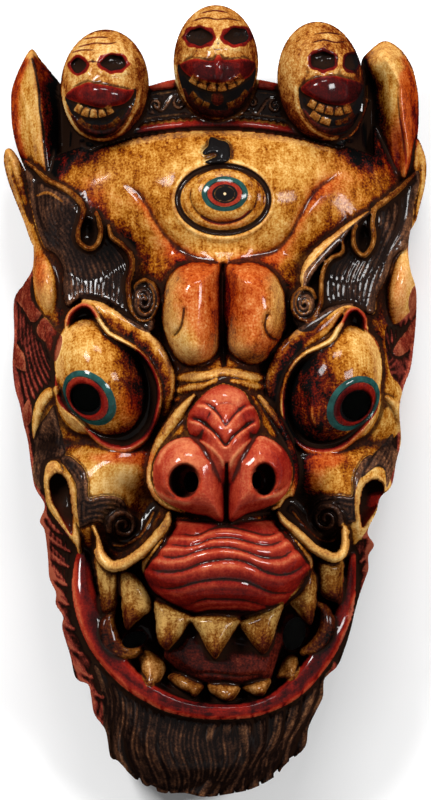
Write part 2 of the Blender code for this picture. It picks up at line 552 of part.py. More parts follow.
def mouth(mask):
    """Open jaw: fangs, tongue, lower teeth and the heavy lower lip."""
    opening = [
        (-66, -124.5), (-57, -118), (-41, -124.5), (-22.5, -132), (7, -137), (37, -132),
        (55.5, -119.5), (64, -118), (71, -126), (73, -138), (68, -149.5), (57.5, -159),
        (46, -169.5), (29, -179.5), (6, -183), (-16, -180.5), (-35, -172), (-49, -157),
        (-61, -150.5), (-67.5, -140.5)]
    depth = mask.depth_in(opening)
    floor = MOUTH_FLOOR + 12 * (1 - np.clip(depth / 12, 0, 1))
    mask.front = np.where(depth > 0, np.minimum(mask.front, floor), mask.front)
    mask.bead([
        (-81, -103, 3, 84), (-82.5, -118, 6, 92), (-79, -135.5, 8, 98), (-70.5, -152.5, 9, 102),
        (-57.5, -169.5, 10, 106), (-40, -182, 11, 108), (-19, -189, 12, 109),
        (4, -190.5, 12.5, 109), (25.5, -188, 12, 108), (46, -179, 11, 106), (61, -163, 9, 102),
        (71, -145.5, 7, 97), (77.5, -128, 5, 90), (80.5, -112, 3, 82)], 6.5, sink=1)
    mask.slab([
        (-33, -149.5), (-31, -160.5), (-25, -168), (-14, -174), (2.5, -177.5), (15, -179),
        (26, -176), (35, -169.5), (39.5, -159), (39, -149.5), (29, -143), (6, -140),
        (-19.5, -142)], 112, 26, 24)
    lower_teeth = ((-42.5, -178, 8.8), (-16, -185, 9.4), (7.5, -187.5, 9.4), (29, -184.5, 9.4), (48, -174, 8.8))
    for x, y, half in lower_teeth:
        outline = [(x - half, y + 9), (x - half + 2, y + 14), (x, y + 17), (x + half - 2, y + 14),
                   (x + half, y + 9), (x + 3.5, y + 3), (x, y), (x - 3.5, y + 3)]
        tooth(mask, outline, (x, y + 16), (x, y), 112, 117)
    fangs = (
        ([
            (-74, -107), (-73, -124.5), (-70.5, -132.5), (-64, -132), (-58, -125.5),
            (-57, -112), (-59, -107), (-67.5, -103)], (-66, -104.5), (-67.5, -132), 112, 110),
        ([
            (-59.5, -110), (-59, -126), (-57.5, -138), (-55, -143), (-49, -138), (-42, -130.5),
            (-39.5, -123), (-43, -114), (-52, -109)], (-50.5, -108), (-55.5, -143), 118, 120),
        ([
            (-44, -124.5), (-41, -135.5), (-37, -147.5), (-32, -155.5), (-25.5, -149.5),
            (-19.5, -140), (-16, -131), (-29, -124.5), (-38, -119.5)], (-27.5, -124.5), (-32, -155.5), 124, 128),
        ([
            (-15, -132), (-12.5, -140.5), (-6, -152), (0, -161), (6, -152.5), (13, -142),
            (16, -132.5), (1, -128)], (0, -129), (0, -161), 128, 132),
        ([
            (15.5, -132), (17.5, -140.5), (24, -150.5), (30, -158), (35, -149.5), (40, -138),
            (42.5, -128), (29, -124.5)], (29, -125.5), (30, -158), 126, 129),
        ([
            (44, -122), (45, -130.5), (52, -137), (59.5, -140.5), (62, -132), (63, -119.5),
            (60, -110), (52.5, -114.5)], (54, -112), (59.5, -140.5), 120, 120),
        ([
            (62, -108), (62.5, -119.5), (66, -126), (73, -129), (79, -127), (80.5, -117),
            (80, -104), (71, -99.5)], (71, -102), (73, -128), 112, 108))
    for outline, root, tip, root_height, tip_height in fangs:
        tooth(mask, outline, root, tip, root_height, tip_height)
    mask.drill((-50, -148), (8, 5), 20)
    mask.drill((48, -145), (6, 10.5), -15)


def beard(mask):
    """Rope-like locks that hang side by side from under the lip."""
    for k in range(LOCKS):
        f = k / (LOCKS - 1)
        swell = math.sin(math.pi * f)
        side = 1 if k % 2 else -1
        top = (-65 + 129 * f, -181 - 19 * swell + 1.2 * side)
        foot = (-55 + 94 * f, -223 - 21 * swell ** 0.7 - 1.9 * side)
        lock = []
        for t in np.linspace(0, 1, 7):
            sway = 3.1 * side * math.sin(2.2 * math.pi * t)
            lock.append((top[0] + (foot[0] - top[0]) * t + sway, top[1] + (foot[1] - top[1]) * t,
                         5.8 - 1.6 * t, 70 + 22 * swell - (40 + 8 * swell) * t ** 1.4))
        mask.bead(lock, 6.0, sink=1)


def mane(mask):
    """Flame locks that lie down the sides of the head."""
    flames = ([(-116, 76, 1.5), (-121, 69, 5), (-121, 60, 6), (-116, 50.5, 4.5), (-112, 42, 1.5)], [
        (-107.5, 52, 1), (-109, 43, 4), (-106, 34.5, 4.5), (-103, 25.5, 1)],
              [(-124.5, 35, 1), (-122.5, 28, 3.4), (-121, 22, 3.4), (-120.5, 17.5, 1)], [
                  (-102.5, -74.5, 1), (-97.5, -84, 4), (-91, -90.5, 3.5), (-85, -94.5, 1)],
              [(-102.5, -90, 1), (-97.5, -98, 4), (-90, -103, 3.5), (-85, -105.5, 1)], [
                  (126, 73, 1), (125.5, 63, 4), (124, 50.5, 4.5), (121, 35, 2)],
              [(122, 44.5, 1), (117.5, 35, 4), (112.5, 25.5, 3.5), (109, 19.5, 1)], [
                  (99, -80.5, 1.5), (97.5, -90, 4), (95, -98, 2)])
    for flame in flames:
        mask.bead(flame, 4.0)


def hollow(mask):
    """Scoop out the back to an even wall, leaving a flat rim all round."""
    inner = np.clip(mask.depth_in(HOLLOW) / HOLLOW_ROUND, 0, 1)
    ceiling = blur(lowest_near(np.where(mask.depth > 0, mask.front, 0), WALL), WALL) - WALL
    scoop = np.clip(ceiling, 0, None) * np.sqrt(1 - (1 - inner) ** 2)
    mask.back = np.where((mask.depth_in(HOLLOW) > 0) & (mask.back < EDGE_HEIGHT), scoop, mask.back)
    mask.back = np.where(mask.depth > 0, np.minimum(mask.back, mask.front - EDGE_WOOD), mask.back)
    mask.depth = np.minimum(mask.depth, -mask.holes)


# ------------------------------------------------------------------ from fields to a solid
def wood_cells(mask):
    """Cells whose four corners lie in the wood, with no two touching only at a corner."""
    inside = mask.depth > 0
    cells = inside[:-1, :-1] & inside[1:, :-1] & inside[:-1, 1:] & inside[1:, 1:]
    while True:
        a, b, c, d = cells[:-1, :-1], cells[1:, :-1], cells[:-1, 1:], cells[1:, 1:]
        crossed = (a & d & ~b & ~c) | (b & c & ~a & ~d)
        if not crossed.any():
            return cells
        i, j = np.nonzero(crossed)
        cells[i, j] = cells[i + 1, j] = cells[i, j + 1] = cells[i + 1, j + 1] = False


def settle_on_outline(mask, used, edge):
    """Plan position of each grid point, with those on the edge moved out to the true outline."""
    slope_x, slope_y = np.gradient(mask.depth, CELL)
    steep = np.maximum(slope_x ** 2 + slope_y ** 2, 0.2)
    shift = np.where(edge & used, np.clip(mask.depth, 0, 0.9 * CELL), 0)
    return mask.x - shift * slope_x / steep, mask.y - shift * slope_y / steep


def make_mesh(mask):
    """Front and back skins over the wood cells, joined by walls round every edge."""
    cells = wood_cells(mask)
    used = np.zeros(mask.x.shape, dtype=bool)
    around = np.zeros(mask.x.shape, dtype=int)
    for di in (0, 1):
        for dj in (0, 1):
            corner = (slice(di, di + cells.shape[0]), slice(dj, dj + cells.shape[1]))
            used[corner] |= cells
            around[corner] += cells
    edge = used & (around < 4)
    plan_x, plan_y = settle_on_outline(mask, used, edge)
    number = np.full(mask.x.shape, -1)
    number[used] = np.arange(used.sum())
    corners = []
    for height in (mask.front, mask.back):
        taper = 1 - height * DRAFT
        x = plan_x * taper - LEAN * height
        corners.append(np.stack([x[used], (plan_y * taper)[used], height[used]], axis=1))
    points = np.concatenate(corners)
    points[:, :2] -= (points[:, :2].min(axis=0) + points[:, :2].max(axis=0)) / 2
    below = int(used.sum())
    i, j = np.nonzero(cells)
    quads = np.stack([number[i, j], number[i + 1, j], number[i + 1, j + 1], number[i, j + 1]], axis=1)
    faces = [quads, quads[:, ::-1] + below]
    sides = {}
    for a, b in ((0, 1), (1, 2), (2, 3), (3, 0)):
        for start, end in zip(quads[:, a].tolist(), quads[:, b].tolist()):
            if (end, start) in sides:
                del sides[(end, start)]
            else:
                sides[(start, end)] = True
    walls = np.array([(s, s + below, e + below, e) for s, e in sides])
    faces.append(walls)
    mesh = bpy.data.meshes.new("mask")
    mesh.from_pydata((points * MM).tolist(), [], np.concatenate(faces).tolist())
    return mesh


def lacquer():
    """Aged gilding over red-brown lacquer."""
    material = bpy.data.materials.new("gilded_lacquer")
    material.use_nodes = True
    shader = material.node_tree.nodes["Principled BSDF"]
    shader.inputs["Base Color"].default_value = (0.48, 0.27, 0.08, 1.0)
    shader.inputs["Roughness"].default_value = 0.38
    shader.inputs["Metallic"].default_value = 0.25
    return material


def carve():
    """The whole mask, form by form, from the broad masses to the through openings."""
    mask = Carving()
    for form in (face_masses, mane, crown, ears, skulls, forehead, brows, eyes, nose, snout, cheeks,
                 mouth, beard, hollow):
        form(mask)
        if form is beard:
            mask.front = soften(mask.front, mask.depth > 0)
    return mask


def main():
    for old in list(bpy.data.objects):
        bpy.data.objects.remove(old, do_unlink=True)
    body = bpy.data.objects.new("mask", make_mesh(carve()))
    bpy.context.scene.collection.objects.link(body)
    bm = bmesh.new()
    bm.from_mesh(body.data)
    bmesh.ops.triangulate(bm, faces=bm.faces)
    count = len(bm.faces)
    bm.to_mesh(body.data)
    bm.free()
    thin = body.modifiers.new("fewer_facets", "DECIMATE")
    thin.ratio = TRIANGLES / count
    body.data.materials.append(lacquer())
    body.data.shade_smooth()


main()
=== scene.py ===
import math

import bpy
import numpy as np
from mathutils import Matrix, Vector


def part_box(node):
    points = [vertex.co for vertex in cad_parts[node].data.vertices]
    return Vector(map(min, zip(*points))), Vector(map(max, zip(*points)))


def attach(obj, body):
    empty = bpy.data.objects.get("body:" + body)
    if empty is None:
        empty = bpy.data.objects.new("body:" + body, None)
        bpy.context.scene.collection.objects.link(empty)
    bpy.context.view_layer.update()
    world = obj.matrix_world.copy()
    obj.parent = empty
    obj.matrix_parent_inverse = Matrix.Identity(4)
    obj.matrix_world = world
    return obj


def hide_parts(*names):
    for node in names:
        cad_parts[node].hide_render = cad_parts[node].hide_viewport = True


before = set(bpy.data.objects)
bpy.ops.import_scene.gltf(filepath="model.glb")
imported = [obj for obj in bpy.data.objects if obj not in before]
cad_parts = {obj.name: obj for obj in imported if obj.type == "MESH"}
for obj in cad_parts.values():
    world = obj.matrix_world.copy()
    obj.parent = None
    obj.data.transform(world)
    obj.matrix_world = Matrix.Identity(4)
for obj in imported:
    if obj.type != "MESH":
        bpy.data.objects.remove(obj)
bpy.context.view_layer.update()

MM = 0.001
HALF_WIDTH = 136.0          # how far the grid of the height fields reaches
HALF_HEIGHT = 252.0
CELL = 0.7
TRIANGLES = 197000          # what the mesh is thinned to

FACE_HEIGHT = 90.0          # general level of the face above the rim
SHOULDER = 58.0             # distance over which the block swells from its edge
EDGE_HEIGHT = 10.0          # height of the block along its outline
TUCK_WIDTH = 14.0           # the sides curve in by this much on their way down to the flat rim
TUCK_HEIGHT = 44.0
EDGE_WOOD = 5.0             # least thickness of the wood
WALL = 13.0                 # thickness between the face and the hollow behind it
HOLLOW_ROUND = 34.0         # how far in from its edge the hollow keeps deepening
SKULL_BACKS = 165.0         # above this line the sides belong to the skulls and the band below them
SKULLS_REACH = 96.0         # and this far to each side
SHELF_HEIGHT = 44.0         # there the plain bone of the skull backs meets the dark wall of the band
BAND_HEIGHT = 76.0          # level of the crown band behind the skulls
BAND_REACH = 99.0           # half the length of the band
BAND_SAG = 6.0              # how far the band has fallen at BAND_BEND from the middle
BAND_BEND = 56.0
SKULL_MIDDLE = 80.0         # level at which a skull is widest
EAR_CREST = 66.0
EAR_BACK = 26.0
LOBE_BACK = 22.0
MOUTH_FLOOR = 72.0
DRAFT = 1.0 / 2600.0        # forms narrow toward the axis as they rise
LEAN = 0.045                # and step aside, because the face is turned a little
REACH = 60.0                # how far from a line or an outline the distance to it is measured
NOWHERE = 1000.0            # stands for the back where there is no wood
FAR = 6.0                   # how far from its edge a painted area is measured
PAINTS = ("mane", "bone", "red", "hair", "tooth", "tongue", "tan", "bronze", "teal", "cream", "black")
OVERLAP = 0.44              # how far an older paint runs on under the edge of a newer one
UNDERLAP = 0.12             # and the other way round
WASH_FALL = 1.4             # how fast a wash of stain or blush fades out beyond its ellipse
EVERYWHERE = (slice(None), slice(None))

BODY = [
    (-75, 185.5), (-57, 192), (-41, 197), (-25, 201), (0, 203), (26, 201), (45.5, 197), (71, 190.5),
    (92.5, 180.5), (105.5, 163), (116, 147.5), (125.5, 138), (125, 124), (122, 108), (120.5, 94.5),
    (122, 82), (125.5, 69.5), (125.5, 52), (124, 35), (122, 20.5), (117.5, 8), (115, -5.5), (116, -24.5),
    (113, -38), (110, -53), (103, -60.5), (100.5, -69.5), (95, -82), (99, -90), (95.5, -97),
    (95.5, -105.5), (92.5, -114), (89.5, -123), (87, -132), (84, -144.5), (80.5, -155.5), (76, -166),
    (68, -174), (67, -185), (62.5, -194.5), (58, -204.5), (55.5, -217), (44, -227), (36, -235.5),
    (22.5, -242.5), (9, -245.5), (-7, -247.5), (-19.5, -245), (-35, -244.5), (-50.5, -236), (-61, -225),
    (-66, -222), (-69, -206), (-76, -195.5), (-78, -184.5), (-80, -177), (-87.5, -173), (-91, -159),
    (-96, -142), (-95.5, -134.5), (-100, -127), (-100, -119.5), (-104, -110.5), (-105, -97), (-107, -81),
    (-110, -75), (-107, -65), (-113, -54), (-115.5, -40), (-117.5, -25), (-120, -15), (-122.5, -2.5),
    (-125.5, 8), (-127, 23), (-126, 41), (-126, 63), (-120, 73), (-114.5, 83), (-114, 97.5), (-115.5, 110),
    (-120, 128), (-121, 139.5), (-110, 157), (-91, 175.5)]
SWELL = [
    (-75, 193), (-41, 205.5), (0, 210.5), (43, 205.5), (92.5, 188), (126, 132), (128, 63), (120, -12),
    (102, -87), (81, -155.5), (56, -215), (22.5, -244.5), (-7, -249.5), (-41, -244.5), (-74, -205.5),
    (-104, -124.5), (-119, -49.5), (-129.5, 25.5), (-126, 88), (-122.5, 132), (-107.5, 163)]
HOLLOW = [
    (0, 157), (52.5, 147.5), (85, 116), (99, 72.5), (101, 25.5), (95, -24.5), (80.5, -74.5), (60, -124.5),
    (34, -159), (0, -171), (-34, -162), (-61, -124.5), (-84, -74.5), (-97.5, -24.5), (-104, 25.5),
    (-100, 75.5), (-85, 119.5), (-52.5, 147.5)]
# everything outside this line is dark hair, everything inside it is gilded
FACE = [
    (-75, 185.5), (0, 198), (92.5, 180.5), (116, 147.5), (122, 138), (120, 94.5), (124.5, 87), (125, 63),
    (115, 49.5), (106, 44.5), (109, 18), (116, 8), (119, -12), (111, -24.5), (107.5, -49.5), (91, -80.5),
    (77.5, -99.5), (71, -130.5), (64, -155.5), (46, -180.5), (2.5, -197), (-41, -188), (-72.5, -159),
    (-85, -124.5), (-82.5, -99.5), (-91, -87), (-104, -62), (-112.5, -24.5), (-110, -2.5), (-100, 7),
    (-99, 35), (-106, 49.5), (-112.5, 63), (-114.5, 83), (-115, 110), (-120, 138)]

# ------------------------------------------------------------------ colours
# from the deepest glaze and painted shade to the rubbed and painted highlights, each colour with its place
# on the scale of painted light
NIGHT = (0.0, (0.002, 0.002, 0.002))
GOLD = (NIGHT, (0.2, (0.067, 0.006, 0.002)), (0.4, (0.234, 0.067, 0.003)),
        (0.55, (0.387, 0.163, 0.024)), (0.72, (0.499, 0.276, 0.071)), (0.92, (0.63, 0.405, 0.152)))
ROSY = (NIGHT, (0.25, (0.105, 0.002, 0.002)), (0.5, (0.305, 0.033, 0.002)),
        (0.72, (0.431, 0.097, 0.018)), (0.95, (0.54, 0.268, 0.105)))
BONE = ((0.0, (0.009, 0.002, 0.002)), (0.25, (0.101, 0.014, 0.002)), (0.48, (0.313, 0.118, 0.019)),
        (0.7, (0.479, 0.283, 0.089)), (0.95, (0.583, 0.46, 0.234)))
TOOTH = (NIGHT, (0.3, (0.046, 0.006, 0.002)), (0.55, (0.152, 0.051, 0.006)),
         (0.85, (0.387, 0.221, 0.061)))
RED = (NIGHT, (0.22, (0.04, 0.003, 0.003)), (0.46, (0.16, 0.007, 0.004)), (0.68, (0.3, 0.034, 0.014)),
       (1.0, (0.52, 0.17, 0.07)))
HAIR = ((0.0, (0.004, 0.002, 0.002)), (0.35, (0.008, 0.004, 0.003)), (0.58, (0.03, 0.013, 0.008)),
        (0.8, (0.085, 0.034, 0.016)), (1.05, (0.23, 0.1, 0.045)))
MANE = (NIGHT, (0.35, (0.01, 0.003, 0.002)), (0.56, (0.04, 0.007, 0.005)), (0.8, (0.13, 0.02, 0.013)),
        (1.05, (0.22, 0.032, 0.02)), (1.3, (0.3, 0.07, 0.036)))
TONGUE = (NIGHT, (0.35, (0.026, 0.004, 0.003)), (0.65, (0.11, 0.012, 0.006)),
          (0.95, (0.248, 0.067, 0.03)))
TAN = ((0.2, (0.012, 0.002, 0.002)), (0.6, (0.101, 0.043, 0.014)), (0.9, (0.268, 0.137, 0.054)))
BRONZE = (NIGHT, (0.3, (0.048, 0.007, 0.002)), (0.55, (0.163, 0.054, 0.007)),
          (0.8, (0.353, 0.163, 0.048)), (1.0, (0.519, 0.328, 0.137)))
SOOT = (0.006, 0.005, 0.005)
TEAL_DEEP = (0.008, 0.032, 0.028)
TEAL_PALE = (0.018, 0.085, 0.075)
CREAM = (0.62, 0.46, 0.26)
# pale gold of worn ridges, laid on as their painted highlight too
RUBBED_GOLD_AND_HIGHLIGHT = (0.72, 0.46, 0.20)
# dark glaze of the grooves, which also paints their shade
GLAZE_AND_SHADE = (0.016, 0.007, 0.004)
SPECK = (0.05, 0.02, 0.008)
WOOD = ((0.1, (0.022, 0.012, 0.007)), (0.5, (0.085, 0.045, 0.022)), (0.9, (0.19, 0.11, 0.055)))
# how much varnish the lacquers keep; gilding is rubbed half matt
GLOSSY = {"red": 0.6, "hair": 0.55, "bone": 0.5, "tongue": 0.6, "teal": 0.7, "black": 0.4,
          "tan": 0.5, "bronze": 0.5}

# ------------------------------------------------------------------ picture
FRAME_HEIGHT = 500.0        # what the picture spans at the level of the rim
FRAME_CENTRE = (-0.3, 0.6)
FRAME_SHAPE = 0.53875       # width to height
SENSOR = 36.0
FLOOR_REACH = 6.0           # metres
FLOOR_GAP = 0.0005
AMBIENT = 0.24
# softboxes in metres and watts: name, place, what it faces, size, power
SOFTBOXES = (("softbox_left", (-1.5, 1.5, 2.2), (0, 0, 0.1), (0.8, 0.8), 92),
             ("softbox_right", (1.7, 0.4, 1.9), (0, 0, 0.1), (0.5, 0.9), 43),
             ("softbox_top", (0.2, 2.2, 1.7), (0, 0.05, 0.1), (1.0, 0.5), 37))


# ------------------------------------------------------------------ curves and blends
def smooth_curve(points, closed=False, spacing=1.5):
    """Catmull-Rom curve; columns after x and y, such as a half-width, are carried along."""
    knots = np.array(points, dtype=float)
    count = len(knots)
    rows = []
    for i in range(count if closed else count - 1):
        if closed:
            a, b, c, d = (knots[(i + k - 1) % count] for k in range(4))
        else:
            b, c = knots[i], knots[i + 1]
            a = knots[i - 1] if i > 0 else 2 * b - c
            d = knots[i + 2] if i + 2 < count else 2 * c - b
        steps = max(1, math.ceil(math.hypot(c[0] - b[0], c[1] - b[1]) / spacing))
        for k in range(steps):
            t = k / steps
            rows.append(0.5 * (2 * b + (c - a) * t + (2 * a - 5 * b + 4 * c - d) * t * t
                               + (3 * b - a - 3 * c + d) * t ** 3))
    rows.append(knots[0] if closed else knots[-1])
    return np.array(rows)


def paint_lap(old, new):
    """How far an old paint runs on under the edge of a new one, so that no ground shows between."""
    if new not in PAINTS:
        return 0.0
    return OVERLAP if PAINTS.index(old) < PAINTS.index(new) else UNDERLAP


def soft_max(a, b, blend):
    """The higher of two surfaces, with a fillet of about the blend where they cross."""
    return 0.5 * (a + b + np.sqrt((a - b) ** 2 + blend * blend))


def roundness(q):
    """Height of a unit dome at the squared radius q."""
    return np.sqrt(np.clip(1 - q, 0, 1))


def into(depth, reach):
    """Share of the way in from an edge: 0 outside it, 1 from the given reach on."""
    return np.clip(depth / reach, 0, 1)


def rounded(depth, reach):
    """Quarter-round rise from an edge, level from the given reach on."""
    return roundness((1 - into(depth, reach)) ** 2)


def blur(field, radius):
    """Box blur run twice, close to a Gaussian of the radius."""
    k = max(1, round(radius / CELL))
    for _ in range(2):
        for axis in (0, 1):
            pad = [(0, 0), (0, 0)]
            pad[axis] = (k + 1, k)
            total = np.cumsum(np.pad(field, pad, mode="edge"), axis=axis)
            size = field.shape[axis]
            high = np.take(total, range(2 * k + 1, 2 * k + 1 + size), axis=axis)
            low = np.take(total, range(size), axis=axis)
            field = (high - low) / (2 * k + 1)
    return field


def soften(field, wood):
    """Take the saw-tooth off steep edges by averaging each cell with its neighbours in the wood."""
    share = wood.astype(float)
    for axis in (0, 1):
        total = 2 * field * share
        weight = 2 * share
        for step in (-1, 1):
            total = total + np.roll(field * share, step, axis=axis)
            weight = weight + np.roll(share, step, axis=axis)
        field = np.where(wood, total / np.maximum(weight, 1), field)
    return field


def lowest_near(field, radius):
    """Smallest value within the radius."""
    k = max(1, round(radius / CELL))
    for axis in (0, 1):
        low = field
        for step in range(1, k + 1):
            for way in (step, -step):
                low = np.minimum(low, np.roll(field, way, axis=axis))
        field = low
    return field


def plan(points):
    """Only x and y of points that carry more columns."""
    return [point[:2] for point in points]


def ring(centre, radii, width, turn=0.0, count=32):
    """Closed ellipse as a list of points with one half-width."""
    c, s = math.cos(math.radians(turn)), math.sin(math.radians(turn))
    out = []
    for k in range(count):
        u = radii[0] * math.cos(2 * math.pi * k / count)
        v = radii[1] * math.sin(2 * math.pi * k / count)
        out.append((centre[0] + c * u - s * v, centre[1] + s * u + c * v, width))
    return out


# ------------------------------------------------------------------ the carving
class Carving:
    """Front and back height fields, depth inside the outline, and the paint on each cell."""

    def __init__(self):
        self.xs = np.arange(-HALF_WIDTH, HALF_WIDTH + CELL / 2, CELL)
        self.ys = np.arange(-HALF_HEIGHT, HALF_HEIGHT + CELL / 2, CELL)
        self.x, self.y = np.meshgrid(self.xs, self.ys, indexing="ij")
        self.paint = {name: np.full(self.x.shape, -FAR) for name in PAINTS}
        self.flush = np.zeros(self.x.shape)
        # dark glaze together with painted shade; below zero it is painted highlight
        self.shade_and_stain = np.zeros(self.x.shape)
        self.depth = self.depth_in(BODY)
        self.body = self.depth
        swell = into(self.depth_in(SWELL), SHOULDER)
        self.front = EDGE_HEIGHT + (FACE_HEIGHT - EDGE_HEIGHT) * roundness((1 - swell) ** 2.2)
        tuck = 1 - into(self.depth, TUCK_WIDTH)
        self.back = np.where(self.depth > 0, TUCK_HEIGHT * (1 - roundness(tuck ** 2)), NOWHERE)
        self.holes = np.full(self.x.shape, -REACH)

    def window(self, low_x, high_x, low_y, high_y):
        """Slices of the grid that hold the given rectangle."""
        i0 = min(max(0, int((low_x - self.xs[0]) / CELL)), len(self.xs) - 1)
        i1 = min(len(self.xs), int((high_x - self.xs[0]) / CELL) + 2)
        j0 = min(max(0, int((low_y - self.ys[0]) / CELL)), len(self.ys) - 1)
        j1 = min(len(self.ys), int((high_y - self.ys[0]) / CELL) + 2)
        return slice(i0, max(i1, i0 + 1)), slice(j0, max(j1, j0 + 1))

    def near(self, path, reach):
        """Window round a path, with distance, side and length run along it for its cells."""
        low = path[:, :2].min(axis=0) - reach
        high = path[:, :2].max(axis=0) + reach
        win = self.window(low[0], high[0], low[1], high[1])
        shape = self.x[win].shape
        dist = np.full(shape, float(reach))
        side = np.ones(shape)
        along = np.zeros(shape)
        start = 0.0
        for a, b in zip(path[:-1], path[1:]):
            dx, dy = b[0] - a[0], b[1] - a[1]
            length = math.hypot(dx, dy)
            if length < 1e-9:
                continue
            part = self.window(min(a[0], b[0]) - reach, max(a[0], b[0]) + reach,
                               min(a[1], b[1]) - reach, max(a[1], b[1]) + reach)
            cut = tuple(slice(p.start - w.start, p.stop - w.start) for p, w in zip(part, win))
            off_x = self.x[part] - a[0]
            off_y = self.y[part] - a[1]
            t = np.clip((off_x * dx + off_y * dy) / length ** 2, 0, 1)
            gap = np.hypot(off_x - t * dx, off_y - t * dy)
            closer = gap < dist[cut]
            dist[cut] = np.where(closer, gap, dist[cut])
            side[cut] = np.where(closer, np.sign(dx * off_y - dy * off_x), side[cut])
            along[cut] = np.where(closer, start + t * length, along[cut])
            start += length
        return win, dist, side, along, start

    def depth_near(self, outline, reach=REACH, spacing=1.5):
        """Window round a closed outline, with the signed distance to it, positive inside."""
        path = smooth_curve(outline, True, spacing)
        win, dist, _, _, _ = self.near(path, reach)
        x, y = self.x[win], self.y[win]
        odd = np.zeros(x.shape, dtype=bool)
        for a, b in zip(path[:-1], path[1:]):
            if a[1] != b[1]:
                crosses = (y >= min(a[1], b[1])) & (y < max(a[1], b[1]))
                odd ^= crosses & (x < a[0] + (y - a[1]) * (b[0] - a[0]) / (b[1] - a[1]))
        return win, np.where(odd, dist, -dist)

    def depth_in(self, outline, reach=REACH):
        """The same distance as a field over the whole grid."""
        win, depth = self.depth_near(outline, reach)
        field = np.full(self.x.shape, -float(reach))
        field[win] = depth
        return field

    def oval(self, centre, radii, turn=0.0):
        """Squared radius in a turned ellipse: 0 at its centre, 1 on its edge."""
        c, s = math.cos(math.radians(turn)), math.sin(math.radians(turn))
        dx, dy = self.x - centre[0], self.y - centre[1]
        return ((c * dx + s * dy) / radii[0]) ** 2 + ((c * dy - s * dx) / radii[1]) ** 2

    # -- paint
    def tint(self, win, depth, name):
        """Lay a paint over whatever is there; gold is the ground that shows where nothing lies."""
        depth = np.clip(depth, -FAR, FAR)
        for other, field in self.paint.items():
            if other == name:
                field[win] = np.maximum(field[win], depth)
            else:
                field[win] = np.minimum(field[win], paint_lap(other, name) - depth)

    def tint_oval(self, centre, radii, turn, name):
        """Paint an ellipse."""
        x, y = centre
        reach = max(radii)
        win = self.window(x - reach - FAR, x + reach + FAR, y - reach - FAR, y + reach + FAR)
        q = self.oval(centre, radii, turn)[win]
        self.tint(win, (1 - np.sqrt(q)) * min(radii), name)

    def wash(self, places):
        """One soft ellipse after another, each as x, y, its two radii, amount and, if turned, angle."""
        for x, y, wide, high, amount, *turn in places:
            yield amount * np.exp(-WASH_FALL * self.oval((x, y), (wide, high), *turn))

    def blush(self, *places):
        """Soft areas of red lacquer that show through worn gilding."""
        for share in self.wash(places):
            self.flush += share

    def darken(self, *places):
        """Soft areas of dark glaze and painted shade; a negative amount paints them lighter, such as
        painted highlights.
        """
        for share in self.wash(places):
            self.shade_and_stain += share

    def near_line(self, points, width):
        """Window and signed distance to the edge of a stripe along a curve."""
        win, dist, _, _, _ = self.near(smooth_curve(points), width + FAR)
        return win, width - dist

    def soft_line(self, points, width):
        """Window and strength of a soft stripe that fades out at both ends."""
        win, dist, _, along, length = self.near(smooth_curve(points), 3 * width)
        fade = into(np.minimum(along, length - along), 2 * width)
        return win, fade * np.exp(-(dist / width) ** 2)

    def blush_line(self, points, width, amount):
        """Red lacquer that shows through along a line."""
        win, share = self.soft_line(points, width)
        self.flush[win] += amount * share

    def shade_line(self, points, width, amount):
        """Dark glaze and painted shade along a line; a negative amount paints a pale line of rubbed
        gilding and painted highlight.
        """
        win, share = self.soft_line(points, width)
        self.shade_and_stain[win] += amount * share

    def glaze_and_shade(self, outline, shade_and_stain, flush=0.0, soft=2.0):
        """Wash of dark glaze and painted shade, and of blush, inside an outline, with a soft edge."""
        win, depth = self.depth_near(outline, 20)
        share = np.clip(0.5 + depth / (2 * soft), 0, 1)
        self.shade_and_stain[win] += shade_and_stain * share
        self.flush[win] += flush * share

    # -- form
    def mound(self, centre, radii, top, drop, blend=6.0, turn=0.0):
        """Broad swelling that melts into what is round it."""
        self.front = soft_max(self.front, top - drop * self.oval(centre, radii, turn), blend)

    def ball(self, centre, radii, edge, top, blend=3.0, turn=0.0):
        """Ellipsoid that stands out of the surface from a given edge height."""
        q = self.oval(centre, radii, turn)
        shape = np.where(q < 1, edge + (top - edge) * roundness(q), -REACH)
        self.front = soft_max(self.front, shape, blend)

    def pillow(self, outline, edge, top, reach, blend=3.0):
        """Swelling that fills an outline and rounds down to its edge."""
        win, depth = self.depth_near(outline, reach + FAR)
        shape = edge + (top - edge) * rounded(depth, reach)
        self.front[win] = soft_max(self.front[win], np.where(depth > 0, shape, -REACH), blend)
        return win, depth

    def raise_to(self, inside, height):
        """Bring the surface up to a height where it lies lower."""
        self.front = np.where(inside, np.maximum(self.front, height), self.front)

    def slab(self, outline, top, bevel, drop, paint=None, replace=False):
        """Plateau with a rounded edge; top is a height or a height field."""
        win, depth = self.depth_near(outline)
        level = top[win] if isinstance(top, np.ndarray) else top
        shape = level - drop * (1 - rounded(depth, bevel))
        here = self.front[win]
        if not replace:
            shape = np.maximum(here, shape)
        self.front[win] = np.where(depth > 0, shape, here)
        if paint:
            self.tint(win, depth, paint)
        return win, depth

    def bead(self, points, height, paint=None, sink=0.0, ground=None, closed=False, power=2.0):
        """Round moulding along a curve. Columns: x, y, half-width and, if given, its own level."""
        path = smooth_curve(points, closed)
        win, dist, side, along, _ = self.near(path, path[:, 2].max() + FAR)
        run = np.concatenate([[0], np.cumsum(np.hypot(*np.diff(path[:, :2], axis=0).T))])
        width = np.maximum(np.interp(along, run, path[:, 2]), 0.05)
        level = self.front[win] if ground is None else ground[win]
        if path.shape[1] > 3:
            level = np.interp(along, run, path[:, 3])
        shape = level - sink + height * np.clip(1 - (dist / width) ** power, 0, 1) ** (1 / power)
        if path.shape[1] > 3:
            shape = np.maximum(shape, self.front[win])
        self.front[win] = np.where(dist < width, shape, self.front[win])
        if paint:
            self.tint(win, width - dist, paint)
        return win, dist, side, along, width

